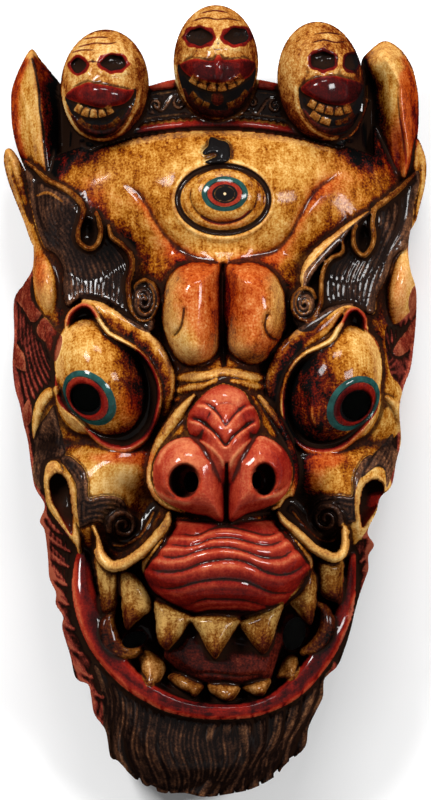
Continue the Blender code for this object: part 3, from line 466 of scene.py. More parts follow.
    def groove(self, points, width, depth, paint=None, closed=False, fade=None):
        """V groove with a soft bottom that runs out at both ends."""
        win, dist, _, along, length = self.near(smooth_curve(points, closed), 3 * width + FAR)
        run_out = np.ones(dist.shape)
        if not closed:
            run_out = into(np.minimum(along, length - along), fade or 2 * width) ** 0.7
        self.front[win] -= depth * run_out * np.exp(-(dist / width) ** 2)
        if paint:
            self.tint(win, width * run_out - dist, paint)

    def pit(self, centre, radii, depth, turn=0.0, power=0.4, paint=None):
        """Steep-sided hollow, flatter at its bottom the smaller the power."""
        q = self.oval(centre, radii, turn)
        self.front -= depth * np.clip(1 - q, 0, 1) ** power
        if paint:
            self.tint_oval(centre, radii, turn, paint)

    def strands(self, left, right, count, depth, mask):
        """Hair lines that flow between two curves, cut where the mask is above zero."""
        a = smooth_curve(left, False, 3)
        b = smooth_curve(right, False, 3)
        low = np.minimum(a[:, :2].min(axis=0), b[:, :2].min(axis=0)) - 2
        high = np.maximum(a[:, :2].max(axis=0), b[:, :2].max(axis=0)) + 2
        box = self.window(low[0], high[0], low[1], high[1])
        gaps = []
        for path in (a, b):
            win, dist, _, _, _ = self.near(path, REACH)
            field = np.full(self.x.shape, REACH)
            field[win] = dist
            gaps.append(field[box])
        share = gaps[0] / (gaps[0] + gaps[1] + 1e-6)
        valley = 1 - roundness((2 * ((share * count) % 1) - 1) ** 2)
        self.front[box] -= into(mask[box], 1.5) * depth * valley

    def drill(self, centre, radii, turn=0.0):
        """Opening that runs right through into the hollow."""
        q = self.oval(centre, radii, turn)
        self.holes = np.maximum(self.holes, (1 - np.sqrt(q)) * min(radii))

    def grow(self, depth, back):
        """A part that reaches past the body and has a rear surface of its own."""
        self.back = np.minimum(self.back, np.where(depth > 0, back, NOWHERE))
        self.depth = np.maximum(self.depth, depth)

    def spiral(self, centre, radii, turns, start, direction, width, height, paint, level=None):
        """Moulding that winds in to its centre, at its own level or just above what it lies on."""
        count = round(turns * 14)
        points = []
        for k in range(count + 1):
            share = k / count
            angle = math.radians(start + direction * 360 * turns * share)
            shrink = 1 - 0.86 * share
            point = (centre[0] + radii[0] * shrink * math.cos(angle),
                     centre[1] - radii[1] * shrink * math.sin(angle), width * (1 - 0.35 * share))
            points.append(point if level is None else point + (level + 2.5 * share,))
        self.bead(points, height, paint, sink=0 if level else -2.0)


# ------------------------------------------------------------------ forms of the mask
def face_masses(mask):
    """Broad forms: forehead, beard, cheeks, temples, brow bulbs, eyes, snout and nose."""
    mask.mound((4.5, 125.5), (70, 50), 116, 26, 8)
    mask.mound((-2.5, -180.5), (62.5, 65.5), 86, 52)
    mask.mound((-74, -55.5), (32.5, 37.5), 113, 30, turn=10)
    mask.mound((84, -55.5), (32.5, 37.5), 113, 30, turn=-10)
    mask.mound((-59, -40.5), (36, 22.5), 113, 22, turn=8)
    mask.mound((64, -40.5), (36, 22.5), 113, 22, turn=-8)
    mask.ball((-104, 69.5), (12.5, 31), 36, 86, 2, turn=8)
    mask.ball((115, 72.5), (14, 34.5), 36, 84, 2, turn=-8)
    mask.mound((4.5, 63), (52.5, 44), 121, 24)
    mask.mound((4.5, 0.5), (72.5, 62.5), 115, 26)
    mask.pillow([
        (3, 84), (4, 63), (3, 38), (0, 27), (-8, 21), (-17.5, 21), (-26, 27.5), (-31, 38), (-34.5, 52),
        (-34.5, 64.5), (-31, 75.5), (-24, 84), (-13, 87.5), (-4, 87)], 104, 141, 17)
    mask.pillow([
        (6, 84), (6, 63), (6, 38), (9.5, 27.5), (17, 22), (26, 22), (35, 27.5), (40.5, 36), (44.5, 49.5),
        (44.5, 63), (40.5, 74.5), (34, 82.5), (24.5, 87), (15, 87)], 104, 141, 17)
    mask.mound((4, 10), (29, 21), 136, 30, 4)
    for centre, ball_centre, turn in (((-68, 9.5), (-71, 15), -20), ((72.5, 5.5), (74, 10.5), 20)):
        mask.mound(centre, (39, 42.5), 118, 26, 5)
        mask.ball(ball_centre, (29.5, 39.5), 90, 133, 2, turn=turn)
    mask.mound((7, -99.5), (62.5, 50), 138, 50)
    mask.ball((7, -100.5), (54, 35), 112, 154, 4)
    mask.mound((6, -30.5), (41, 47.5), 148, 44, 5)
    mask.ball((6, -24.5), (22.5, 37.5), 120, 168, 4)
    mask.masses = mask.front.copy()
    mask.tint(EVERYWHERE, np.full(mask.x.shape, FAR), "mane")
    mask.tint(EVERYWHERE, mask.depth_in(FACE, 30), None)


def crown(mask):
    """Arched band behind the skulls: a roll along its top, a running scroll, a moulding at its foot."""
    def arch(x, rise):
        """How high a line of the band runs at x, when it rises so far in the middle."""
        return rise - BAND_SAG * (x / BAND_BEND) ** 2

    def arc(rise, reach, width):
        """Points of such a line, each with the same half-width."""
        return [(x, arch(x, rise), width) for x in np.linspace(-reach, reach, 9)]

    reach = BAND_REACH - np.abs(mask.x)
    upper, lower = arch(mask.x, 206) - mask.y, mask.y - arch(mask.x, 172)
    level = BAND_HEIGHT - 34 * np.clip(1 - reach / 18, 0, 1) ** 1.6
    mask.front = np.where((reach > 0) & (upper > 0) & (lower > 0), level, mask.front)
    mask.tint(EVERYWHERE, np.minimum(np.minimum(upper, lower), reach), "hair")
    mask.bead(arc(200, 84, 3.4), 3.5, "red", ground=level, power=3)
    for rise in (194.5, 180.0):
        mask.bead(arc(rise, 84, 0.6), 0.9, "tan", ground=level)
    mask.bead(arc(173, 78, 3.8), 6, "red", ground=level)
    rope = [(x, arch(x, 176.3) + 0.5 * math.cos(1.4 * x), 0.75) for x in np.arange(-84, 85, 1.1)]
    mask.bead(rope, 1.1, "bronze", ground=level + 3.2)
    mask.groove(arc(168.3, 80, 1), 1.0, 1.6)
    for k in range(-4, 5):
        x = 15.0 * k + 7.5
        y = arch(x, 187.2)
        turn = 1 if k % 2 else -1
        mask.spiral((x, y), (4.4, 4.4), 1.3, 90 * turn, turn, 0.9, 1.3, "hair", level=BAND_HEIGHT)
        mask.bead([
            (x - 15, y + 4.4 * turn, 0.7), (x - 11, y + 4.6 * turn, 0.9), (x - 7.5, y, 0.9),
            (x - 4, y - 4.4 * turn, 0.9), (x, y - 4.6 * turn, 0.7)], 1.3, "hair", ground=level)
    mask.shade_line([(x, arch(x, 187.2)) for x in (-70, -35, 0, 35, 70)], 7.0, -0.5)
    # painted shadow in the corners between the end skulls and the ears
    mask.glaze_and_shade([(-104, 198), (-84, 198), (-74, 160.5), (-84, 150.5), (-104, 145.5)], 1.7, 0, 4)
    mask.glaze_and_shade([(84, 193), (102.5, 198), (106, 157), (99, 147.5), (77.5, 157)], 1.7, 0, 4)


def ear(mask, outline, rib):
    """Leaf-shaped ear: a crest along its rib, falling to a rolled edge."""
    depth = mask.depth_in(outline)
    win, near_rib, _, _, _ = mask.near(smooth_curve(rib), REACH)
    dist = np.full(mask.x.shape, REACH)
    dist[win] = near_rib
    share = dist / (dist + np.maximum(depth, 0.01))
    height = EAR_CREST - 26 * share ** 1.3 - 6 * (1 - into(depth, 3)) ** 2
    mask.raise_to(depth > 0, height)
    mask.tint(EVERYWHERE, depth, None)
    mask.grow(depth, EAR_BACK + 14 * (1 - into(depth, 12)) ** 2)


def ears(mask):
    """Both ears with their grooved ribs and stained rims, and the lobes that hang under them."""
    ear(
        mask,
        outline=[(-115, 219.5), (-121, 211), (-127, 196), (-128, 185), (-127, 169.5), (-123, 154),
                 (-116, 139.5), (-106, 134.5), (-96, 139.5), (-91, 157), (-91, 179), (-96, 195.5),
                 (-102.5, 204.5), (-109.5, 213)],
        rib=[(-115, 212.5), (-112, 201), (-110, 184.5), (-109, 171), (-107, 155.5), (-104.5, 138)])
    ear(
        mask,
        outline=[(106, 225.5), (97.5, 220.5), (91, 212), (92, 194.5), (92, 169.5), (97.5, 150.5),
                 (110, 135), (120, 139.5), (125, 157), (127, 172.5), (127, 189), (125.5, 200),
                 (122.5, 210.5), (115.5, 220.5)],
        rib=[(107.5, 213), (114, 202), (115.5, 193), (117.5, 175.5), (120, 157), (118, 135)])
    mask.groove([
        (-115, 214.5), (-112.5, 204.5), (-110.5, 193), (-110, 182), (-108, 169.5), (-107, 155.5),
        (-105, 140.5)], 0.8, 1.4, "hair")
    crest = [(-113, 189.5), (-112, 178), (-110.5, 167), (-109, 155.5), (-107, 145.5)]
    # painted highlight along the crest of the left ear's rib, with red showing through
    mask.shade_line(crest, 1.4, -0.8)
    mask.blush_line(crest, 2.0, 0.5)
    mask.bead([
        (-122, 198, 0.6), (-119, 185.5, 1.6), (-115, 172, 2.2), (-113, 158, 2), (-112.5, 144.5, 1)], 1.0)
    mask.groove([
        (114.5, 198), (114.5, 188), (115.5, 177), (117.5, 165.5), (119, 153), (120, 140.5)], 0.8, 1.4)
    mask.tint(*mask.near_line([(115.5, 177), (117.5, 165.5), (119, 153), (120, 140.5)], 0.7), "red")
    mask.bead([
        (115, 200.5, 0.6), (118, 193, 1.6), (120.5, 183, 2.4), (122, 172, 2.6), (122, 159.5, 2),
        (122, 147, 1)], 1.4)
    mask.groove([(114.5, 205.5), (120, 197), (123, 185.5), (124.5, 173), (124, 160.5)], 0.6, 1.0, fade=5)
    mask.bead([
        (-115, 217.5, 0.6), (-120.5, 209.5, 1.8), (-125.5, 195.5, 2.6), (-127, 184.5, 3),
        (-125.5, 169.5, 3), (-122, 154.5, 2.6), (-115.5, 142, 1.6)], 1.2)
    rims = (
        ([(-116, 215.5), (-120.5, 208), (-125, 195.5), (-126, 183), (-125, 168), (-121, 153),
          (-115.5, 142)], 2.4, 1.3),
        ([(114, 218), (120, 209.5), (123, 198), (125, 185.5), (125, 170.5), (122.5, 155.5)], 2.6, 0.9))
    for rim, width, wash in rims:
        mask.blush_line(rim, width, wash)
        mask.shade_line(rim, width, 0.9)
    lobes = (
        [(-131, 157), (-132.5, 149.5), (-130, 138), (-126, 127), (-120, 112), (-114, 97), (-110, 107),
         (-111, 125.5), (-117.5, 140.5), (-126, 155.5)],
        [(125.5, 164.5), (130, 157), (132, 147.5), (131, 135), (128, 122.5), (125, 112), (120, 107),
         (117.5, 125.5), (120, 150.5)])
    for outline in lobes:
        win, near_edge = mask.slab(outline, 52, 8, 14)
        depth = np.full(mask.x.shape, -REACH)
        depth[win] = near_edge
        mask.tint(win, near_edge, None)
        mask.grow(depth, LOBE_BACK)
    mask.groove([(-129, 152), (-126, 139.5), (-121, 124.5), (-115, 109.5)], 1.6, 3.0)
    mask.groove([(127.5, 157), (128, 145.5), (126, 132), (122.5, 118)], 1.6, 3.0)
    mask.darken((-120, 132, 6, 16, 1.2, 15), (121, 132, 5.5, 22.5, 1.2, -12))
    mask.blush((-124, 175.5, 6, 37.5, 0.5))
    mask.glaze_and_shade([
        (-114.5, 214.5), (-109, 212), (-102, 204.5), (-95.5, 194.5), (-92, 179), (-91, 157), (-96, 139.5),
        (-104, 139.5), (-107, 154), (-108.5, 168), (-109.5, 182.5), (-112, 196)], 1.5, 0.9, 1.2)
    # painted shade down the left side of the right ear beside the skull and at its foot; lighter higher up
    mask.darken((94, 182, 5.5, 44, 1.6), (105, 147.5, 14, 14, 0.7), (105, 197, 8, 21, -0.8))
    mask.blush((120, 182, 5.5, 31, 0.4), (105, 157, 14, 19, 0.5), (114, 157, 8, 27.5, 1.1))
    mask.glaze_and_shade([
        (114.5, 205.5), (122, 204.5), (127, 188), (127, 168), (124, 150.5), (120, 140.5), (117.5, 157),
        (115.5, 180.5)], 0.2, 0.9, 1.5)
    mask.darken((-120, 175.5, 6, 31, -0.5))


def skull(mask, centre, radii, turn, top):
    """Ovoid of a crown skull."""
    q = mask.oval(centre, radii, turn)
    mask.raise_to(q < 1, SKULL_MIDDLE + (top - SKULL_MIDDLE) * roundness(q))
    depth = np.clip((1 - np.sqrt(q)) * min(radii), -REACH, REACH)
    mask.tint(EVERYWHERE, depth, "bone")
    mask.shade_and_stain = np.where(q < 1, 0, mask.shade_and_stain)
    mask.grow(depth, SKULL_MIDDLE - 10 - 22 * roundness(q))
    # painted shade round the edge of the skull, deepest along its lower part
    low = np.clip((centre[1] - mask.y) / radii[1] + 0.4, 0, 1)
    mask.shade_and_stain += (0.3 + 1.1 * low) * into(q - 0.45, 0.5) ** 1.3 * (q < 1.02)


def skull_face(mask, sockets, wrinkles, muzzle, grin, lip, under_lip, jaw):
    """Ragged sockets ringed in red, wrinkles, domed muzzle, and the grin inside its thin jaw rim."""
    centre, radii = muzzle
    mask.front += 3.0 * roundness(mask.oval(centre, radii))
    ground = mask.front.copy()
    for x, y, wide, high, turn in sockets:
        ragged = 1 + 0.05 * np.sin(0.9 * mask.x + 1) + 0.04 * np.sin(1.1 * mask.y)
        q = np.sqrt(mask.oval((x, y), (wide, high), turn)) * ragged
        mask.front += 1.4 * np.exp(-((q - 1.45) / 0.25) ** 2)
        mask.tint(EVERYWHERE, np.clip((1.34 - q) * high, -FAR, FAR), "red")
        mask.shade_and_stain += 0.9 * into(1.4 - q, 0.1)
        knobs = 0.55 + 0.45 * np.sin(2.3 * mask.x + 0.7 * mask.y) * np.sin(2.1 * mask.y - 0.5 * mask.x)
        mask.front -= (6.0 + 3.0 * knobs) * np.clip(1 - q * q, 0, 1) ** 0.4
        mask.tint(EVERYWHERE, np.clip((1 - q) * high, -FAR, FAR), "black")
    for line in wrinkles:
        mask.groove(line, 0.5, 0.9, "tongue", fade=4)
    win, depth = mask.depth_near(grin, 20, 1)
    mask.front[win] -= 2.6 * into(depth, 1.2)
    mask.tint(win, depth, "black")
    win, depth = mask.depth_near(lip, 20, 1)
    swell = ground[win] + 4.2 * rounded(depth, 4.5)
    mask.front[win] = np.where(depth > 0, swell, mask.front[win])
    mask.tint(win, depth, "red")
    mask.shade_and_stain[win] += 1.4 * into(depth, 1.5)
    mask.bead(under_lip, 2.0, "tongue", sink=0.1)
    mask.bead(jaw, 1.6, "bone", sink=0.1)
    # pale painted highlight along the jaw rim
    win, edge = mask.near_line(plan(jaw), 0.9)
    mask.shade_and_stain[win] = np.where(edge > 0, -0.7, mask.shade_and_stain[win])


def teeth(mask, arc, count, half, bulge, paint="bone"):
    """Curved row of small teeth; the gaps between them keep what lies below."""
    path = smooth_curve(arc, False, 1)
    win, dist, _, along, length = mask.near(path, half + FAR)
    to_gap = (0.5 - np.abs(along / length * count % 1 - 0.5)) * length / count - 0.3
    edge = np.minimum(half - dist, to_gap)
    edge = np.where((along > 0) & (along < length), edge, np.minimum(edge, -0.3))
    mask.front[win] += bulge * rounded(edge, 1.6) * (edge > 0)
    mask.tint(win, edge, paint)


def skulls(mask):
    """The three crown skulls: at the left, in the middle, at the right."""
    skull(mask, (-69.5, 196.5), (27.5, 35.5), -3, 116)
    skull(mask, (65.5, 199.5), (27, 38), 6, 116)
    skull(mask, (0, 211.5), (26.5, 36), 0, 120)
    skull_face(
        mask,
        sockets=((-86, 209.5, 4.8, 4.6, 15), (-64, 211, 7.6, 4.8, 0)),
        wrinkles=([(-87.5, 220.5), (-80, 222.5), (-74.5, 223.5), (-67.5, 223), (-60.5, 224.5)],
                  [(-84, 225.5), (-75.5, 227), (-66, 227)], [(-80, 230), (-70, 231), (-61, 230.5)],
                  [(-83, 211), (-77.5, 212), (-71, 211)], [(-91, 217), (-84, 219), (-75.5, 219)]),
        muzzle=((-71, 188), (22.5, 22.5)),
        grin=[(-94, 190), (-92, 183), (-88, 176), (-82.5, 170), (-75, 167), (-67.5, 167), (-60, 170.5),
              (-54.5, 178), (-50.5, 187.5), (-50, 194.5), (-53, 195), (-59, 192.5), (-72.5, 190.5),
              (-86, 190.5)],
        lip=[(-94, 190), (-90.5, 194.5), (-85.5, 197), (-80, 199), (-75, 198), (-68, 197), (-61, 195.5),
             (-55, 194.5), (-51, 194.5), (-53, 189.5), (-57.5, 185.5), (-64, 184), (-72.5, 183),
             (-81, 185), (-89, 187)],
        under_lip=[(-89.5, 177.5, 1), (-82.5, 170, 1.6), (-74, 167, 1.8), (-64.5, 169, 1.6),
                   (-57.5, 176, 1.2), (-53, 184, 0.7)],
        jaw=[(-95.5, 194.5, 0.6), (-94.5, 185, 0.8), (-91, 175.5, 0.9), (-85, 167.5, 1), (-75.5, 163.5, 1),
             (-68, 163.5, 1), (-60, 167, 1), (-54, 175, 0.9), (-49.5, 184.5, 0.9), (-47, 194.5, 0.6)])
    teeth(mask, [(-88, 184), (-82, 180.5), (-75.5, 179.5), (-69.5, 180.5), (-64.5, 183)], 5, 2.9, 3.0)
    teeth(mask, [(-86, 176), (-81, 172), (-74, 170.5), (-66, 172), (-60, 177)], 6, 1.7, 1.2, "tooth")
    skull_face(
        mask,
        sockets=((-10.5, 227.5, 8, 5.2, 0), (13, 228, 7.6, 5, 5)),
        wrinkles=([(-16, 237), (-7, 239.5), (0.5, 238.5), (7.5, 239), (16, 237.5)],
                  [(-11, 242), (-1, 244), (9, 242.5)], [(-2, 221), (0, 219.5), (4.5, 220.5)]),
        muzzle=((1, 200.5), (23, 22.5)),
        grin=[(-24, 209.5), (-22.5, 199.5), (-19, 190), (-12.5, 182.5), (-4, 179), (5.5, 179),
              (14.5, 182.5), (20, 190), (24, 199.5), (25, 209.5), (21, 210.5), (1, 207), (-19, 209.5)],
        lip=[(-22.5, 210), (-17.5, 213), (-12.5, 214), (-7, 213), (-2.5, 213), (1.5, 215.5), (5.5, 213.5),
             (10.5, 213.5), (17, 214), (22, 213), (25, 210.5), (22.5, 204.5), (18, 201), (11, 199.5),
             (4, 198), (-4, 199), (-12, 200.5), (-19, 204.5)],
        under_lip=[(-20, 194.5, 0.9), (-15.5, 186, 1.6), (-7.5, 181, 2.1), (2, 179.5, 2.2), (10.5, 181, 2),
                   (18, 187.5, 1.6), (22.5, 195.5, 0.9)],
        jaw=[(-25.5, 209.5, 0.6), (-24.5, 198, 0.9), (-20, 187.5, 1.1), (-13, 179.5, 1.3),
             (-4.5, 176, 1.4), (6, 176, 1.4), (15, 179.5, 1.3), (21, 187.5, 1.1), (25.5, 198, 0.9),
             (27, 209.5, 0.6)])
    mask.bead([
        (1.5, 215, 1.6), (1.5, 209.5, 3.2), (1.5, 204, 2.6), (1.5, 200.5, 1.6)], 2.4, "red", sink=0.2)
    teeth(mask, [(-16, 202.5), (-10.5, 199), (-3, 196.5), (5, 196.5), (12, 199.5), (17, 203)], 6, 2.9, 3.0)
    teeth(mask, [(-16, 192.5), (-10.5, 187), (-4, 184)], 3, 2.2, 1.8, "tooth")
    teeth(mask, [(7, 184), (14.5, 187.5), (20, 194)], 3, 2.2, 1.8, "tooth")
    mask.tint_oval((1, 189), (4, 4.5), 0, "tongue")
    skull_face(
        mask,
        sockets=((67, 213, 7.4, 5.6, -4), (85, 212, 4.2, 5.2, -8)),
        wrinkles=([(59.5, 224), (67.5, 226), (74.5, 224.5), (82.5, 225)],
                  [(61, 229.5), (70.5, 230.5), (80, 229)], [(76, 218), (76, 213), (74.5, 209)]),
        muzzle=((74, 189.5), (21, 24)),
        grin=[(52, 195.5), (52.5, 186), (56, 177.5), (62.5, 170.5), (70, 167), (77.5, 166.5), (85, 170),
              (89.5, 177), (92.5, 186), (92.5, 197), (89, 198), (71, 194.5), (55, 195.5)],
        lip=[(53, 195.5), (57, 199.5), (62.5, 202), (69, 203.5), (75, 203.5), (81, 202), (87, 200.5),
             (92, 197.5), (90.5, 192), (87.5, 188), (82, 185.5), (74.5, 185), (66, 187), (59.5, 190),
             (55, 192.5)],
        under_lip=[(55, 182, 1), (60.5, 174.5, 1.6), (68, 169.5, 1.9), (76, 169, 1.9), (84, 172.5, 1.6),
                   (89, 179.5, 1)],
        jaw=[(50, 197, 0.6), (50.5, 185.5, 0.9), (54.5, 176, 1), (62, 168.5, 1.1), (70, 164.5, 1.2),
             (78, 164, 1.2), (85.5, 167.5, 1.1), (90.5, 175.5, 1), (94, 186, 0.9), (94.5, 197, 0.6)])
    teeth(mask, [(58, 187.5), (64, 184), (70.5, 182), (78, 181.5), (85, 184)], 5, 2.9, 3.0)
    teeth(mask, [(59.5, 180.5), (65, 176.5), (72, 174)], 2, 2.3, 1.8)
    teeth(mask, [(74.5, 174), (81, 175.5), (87, 180)], 3, 1.8, 1.2, "tooth")
    # painted shade on the sides and lower parts of the skulls and in the gaps between them; the broad
    # ovals also darken the skulls' tone
    mask.darken((90, 198, 5.5, 37.5, 0.8), (-54, 177, 7.5, 14, 0.8, -30), (49.5, 182, 7.5, 15, 0.7, 30))
    mask.darken(
        (-72.5, 174.5, 20, 14, 0.5), (1, 189.5, 20, 14, 0.5), (74, 177, 20, 14, 0.5),
        (67.5, 223, 25, 19, 0.5), (85, 213, 10, 25, 0.6), (0, 235.5, 22.5, 12.5, 0.3),
        (-47.5, 200.5, 5.5, 22.5, 0.8), (-96, 197, 4, 21, 0.4), (22.5, 218, 5, 19, 0.7),
        (-22.5, 218, 4, 19, 0.4))
    mask.groove([(-82.5, 193), (-78, 196), (-74.5, 199.5), (-70, 200.5)], 0.6, 0.8, fade=4)
    mask.groove([(-17.5, 214.5), (-12.5, 217), (-7.5, 219.5), (-5, 222)], 0.6, 0.8, fade=4)
    mask.groove([(22.5, 214.5), (17.5, 215.5), (12.5, 218), (9, 220.5)], 0.6, 0.8, fade=4)


def forehead(mask):
    """Third eye in its ring, the curl above it and the folds that frame the brow."""
    mask.front += 4.5 * roundness(mask.oval((5, 129), (20.5, 17)))
    mask.bead(ring((4.5, 125.5), (31, 24), 1.5), 1.0, None, closed=True)
    mask.groove(ring((4.5, 126), (28.5, 21), 1), 1.9, 2.8, "hair", closed=True)
    mask.groove(ring((4.5, 126), (25.5, 18.5), 1), 0.7, 1.0, closed=True)
    mask.groove([(25, 138), (29, 132), (29.5, 124), (25.5, 117)], 0.5, 0.8, fade=3)
    mask.groove([(-15, 140.5), (-19.5, 132), (-20, 122), (-15, 113)], 0.5, 0.8, fade=3)
    eye = (5.5, 129.5)
    rings = (((14.5, 11), "teal"), ((11.5, 8.5), "black"), ((11, 8), "red"), ((8, 6), "black"),
             ((6.5, 5), "tan"), ((6, 4.5), "black"), ((1, 1), "cream"))
    for radii, name in rings:
        mask.tint_oval(eye, radii, 0, name)
    mask.groove(ring(eye, (15, 11), 1), 0.5, 0.5, closed=True)
    mask.groove([(-10, 116), (-5, 113), (2, 111), (9.5, 112), (16, 114.5), (22, 119.5)], 0.9, 0.7, "red")
    mask.blush((6, 112, 16, 4, 1.0))
    curl = [(-3.5, 165), (-0.5, 164.5), (3, 163), (5.5, 162.5), (8, 160.5), (9, 156.5), (9, 152.5),
            (7, 149.5), (2, 148), (-4.5, 148), (-7, 149.5), (-3, 151.5), (-0.5, 152.5), (0.5, 154),
            (-1, 155), (-3.5, 154.5), (-6, 153.5), (-8, 154), (-8.5, 155.5), (-6.5, 158), (-5, 159.5),
            (-4.5, 162.5)]
    win, depth = mask.depth_near(curl, 20, 1)
    mask.front[win] += 3.4 * rounded(depth, 4) * (depth > 0)
    mask.tint(win, depth, "black")
    mask.groove([(-2, 162), (3, 160.5), (6, 157), (5.5, 152.5), (2.5, 150)], 0.8, 1.2, fade=4)
    mask.groove([(-7, 155.5), (-3, 157.5), (0.5, 157.5), (2.5, 155)], 0.7, 1.0, fade=3)
    curl_edges = (
        [(0.5, 154), (-0.5, 152.5), (-3, 151.5), (-7, 150), (-12.5, 148), (-18, 144.5), (-22, 140),
         (-24.5, 134)],
        [(-5, 159.5), (-7, 158), (-9, 155.5), (-8, 153.5), (-6, 153)],
        [(9.5, 150.5), (15, 149), (21, 147), (27.5, 142.5)])
    # pale painted highlights along the edges of the curl
    for line in curl_edges:
        mask.shade_line(line, 0.9, -1.4)
    mask.darken((12.5, 157, 4, 9, 0.8), (-1, 168, 7.5, 2.5, 0.6))
    folds = (
        [(-58, 137), (-53, 134), (-48, 129.5), (-43, 122), (-36, 109.5), (-27.5, 99), (-17, 91), (-6, 87),
         (4.5, 82)],
        [(79, 142), (72.5, 139), (65.5, 134.5), (59, 127), (52, 114.5), (45, 102), (35.5, 93.5),
         (23, 89.5), (12.5, 86), (4.5, 82)])
    for fold in folds:
        mask.groove(fold, 2.8, 1.9, fade=12)
        mask.blush_line([(x, y - 3) for x, y in fold], 6.0, 0.8)
    mask.groove([(4.5, 87), (4, 72.5), (4, 57), (4.5, 41), (5, 20.5)], 1.7, 9.0)
    creases = (
        [(-20, 59), (-20.5, 53), (-22, 46), (-25, 42), (-28, 40)],
        [(33, 55.5), (31, 50.5), (31, 45), (34, 40), (39.5, 38)])
    for line in creases:
        mask.groove(line, 1.3, 3.0, fade=2)
    ridges = (
        [(-27, 13, 1), (-20.5, 15, 2.2), (-12.5, 15.5, 2.6), (-5, 16, 2.2), (4, 18.5, 2),
         (12.5, 17.5, 2.2), (21, 15.5, 2.4), (27.5, 14.5, 2.2), (32, 14.5, 1)],
        [(-27.5, 6, 1), (-20, 7, 2.6), (-12.5, 8, 2.6), (-5, 10.5, 1.6), (0, 13, 1)],
        [(10, 12.5, 1), (19, 10.5, 2.2), (26, 9, 2.4), (32.5, 9, 1)],
        [(-26, 0.5, 1), (-20, 0.5, 2.6), (-14.5, 1.5, 2.2), (-10, 4.5, 1)],
        [(20.5, 7, 0.8), (26, 3, 1.8), (31, 1, 0.8)])
    for ridge in ridges:
        mask.bead([(x, y, 1.25 * half) for x, y, half in ridge], 3.0, None, sink=0.2)
    # painted shade under the crown band and the end skulls and in the creases round the bulbs; negative
    # ovals paint lighter patches
    mask.darken(
        (4.5, 97, 37.5, 9, -0.6), (-72.5, 157, 27.5, 12.5, 1.0, 20), (80.5, 157, 26, 12.5, 1.0, -20),
        (-79, 125.5, 12.5, 22.5, 0.8), (-54, 100.5, 11, 10, 0.9), (0, 165.5, 81, 3, 0.8),
        (-34, 57, 3, 31, 0.6), (45, 57, 4, 31, 0.8), (5, 35, 5, 22.5, 0.8), (-16, 24.5, 19, 5, 0.4),
        (25, 27, 21, 7.5, 0.9), (-1, 49.5, 4, 25, 0.5), (10.5, 63, 4, 21, 0.6), (40, 44.5, 7.5, 19, 0.9),
        (-24, 41, 9, 14, -0.3), (5, 130.5, 19, 15, -0.35), (5, 90.5, 25, 7.5, -0.6),
        (-35, 105.5, 14, 11, -0.3, -45), (47.5, 108, 14, 11, -0.3, 45),
        (52.5, 145.5, 37.5, 16, -0.35, -15), (5.5, 103, 25, 6, -0.3), (-47.5, 143, 25, 10, 0.3, 25))
    mask.blush(
        (-10, 64.5, 19, 25, 1.7), (19, 68, 17.5, 25, 1.8), (-6, 35, 10, 19, 0.8), (29, 35, 19, 16, 0.9),
        (-22.5, 87, 21, 10, 0.6, -30), (32.5, 85.5, 17.5, 9, 0.6, 30), (-77.5, 122.5, 19, 25, 0.8),
        (80.5, 138, 25, 24, 0.7))


def brow(mask, outline, tip, left, right, count):
    """Swept eyebrow of carved hair that flares to a free tip."""
    run = np.hypot(mask.x - tip[0], mask.y - tip[1])
    win, depth = mask.slab(outline, np.maximum(mask.front + 7, 56 + 0.5 * run), 5, 7, "hair", replace=True)
    inside = np.full(mask.x.shape, -FAR)
    inside[win] = depth
    lumps = 0.6 * np.sin(mask.x / 5.5 + 1.2 * np.sin(mask.y / 9.0)) * np.sin(mask.y / 7.5 + 0.6)
    mask.front += lumps * into(inside - 1, 4)
    mask.strands(left, right, count, 1.6, inside - 1)
    mask.strands(left, right, 2 * count + 1, 1.0, inside - 1)
    mask.shade_and_stain[win] += 0.3 * into(depth, 2)


def brow_curl(mask, centre, radii, start, direction):
    """Snail of hair at the inner end of an eyebrow."""
    mask.front = np.where(mask.oval(centre, radii) < 1, 117, mask.front)
    mask.tint_oval(centre, radii, 0, "hair")
    mask.spiral(centre, (radii[0] * 0.88, radii[1] * 0.9), 2.0, start, direction, 1.9, 3.2, "hair", 117)
    mask.spiral(centre, (radii[0] * 0.9, radii[1] * 0.92), 1.2, start, direction, 0.5, 0.8, "bronze", 120)


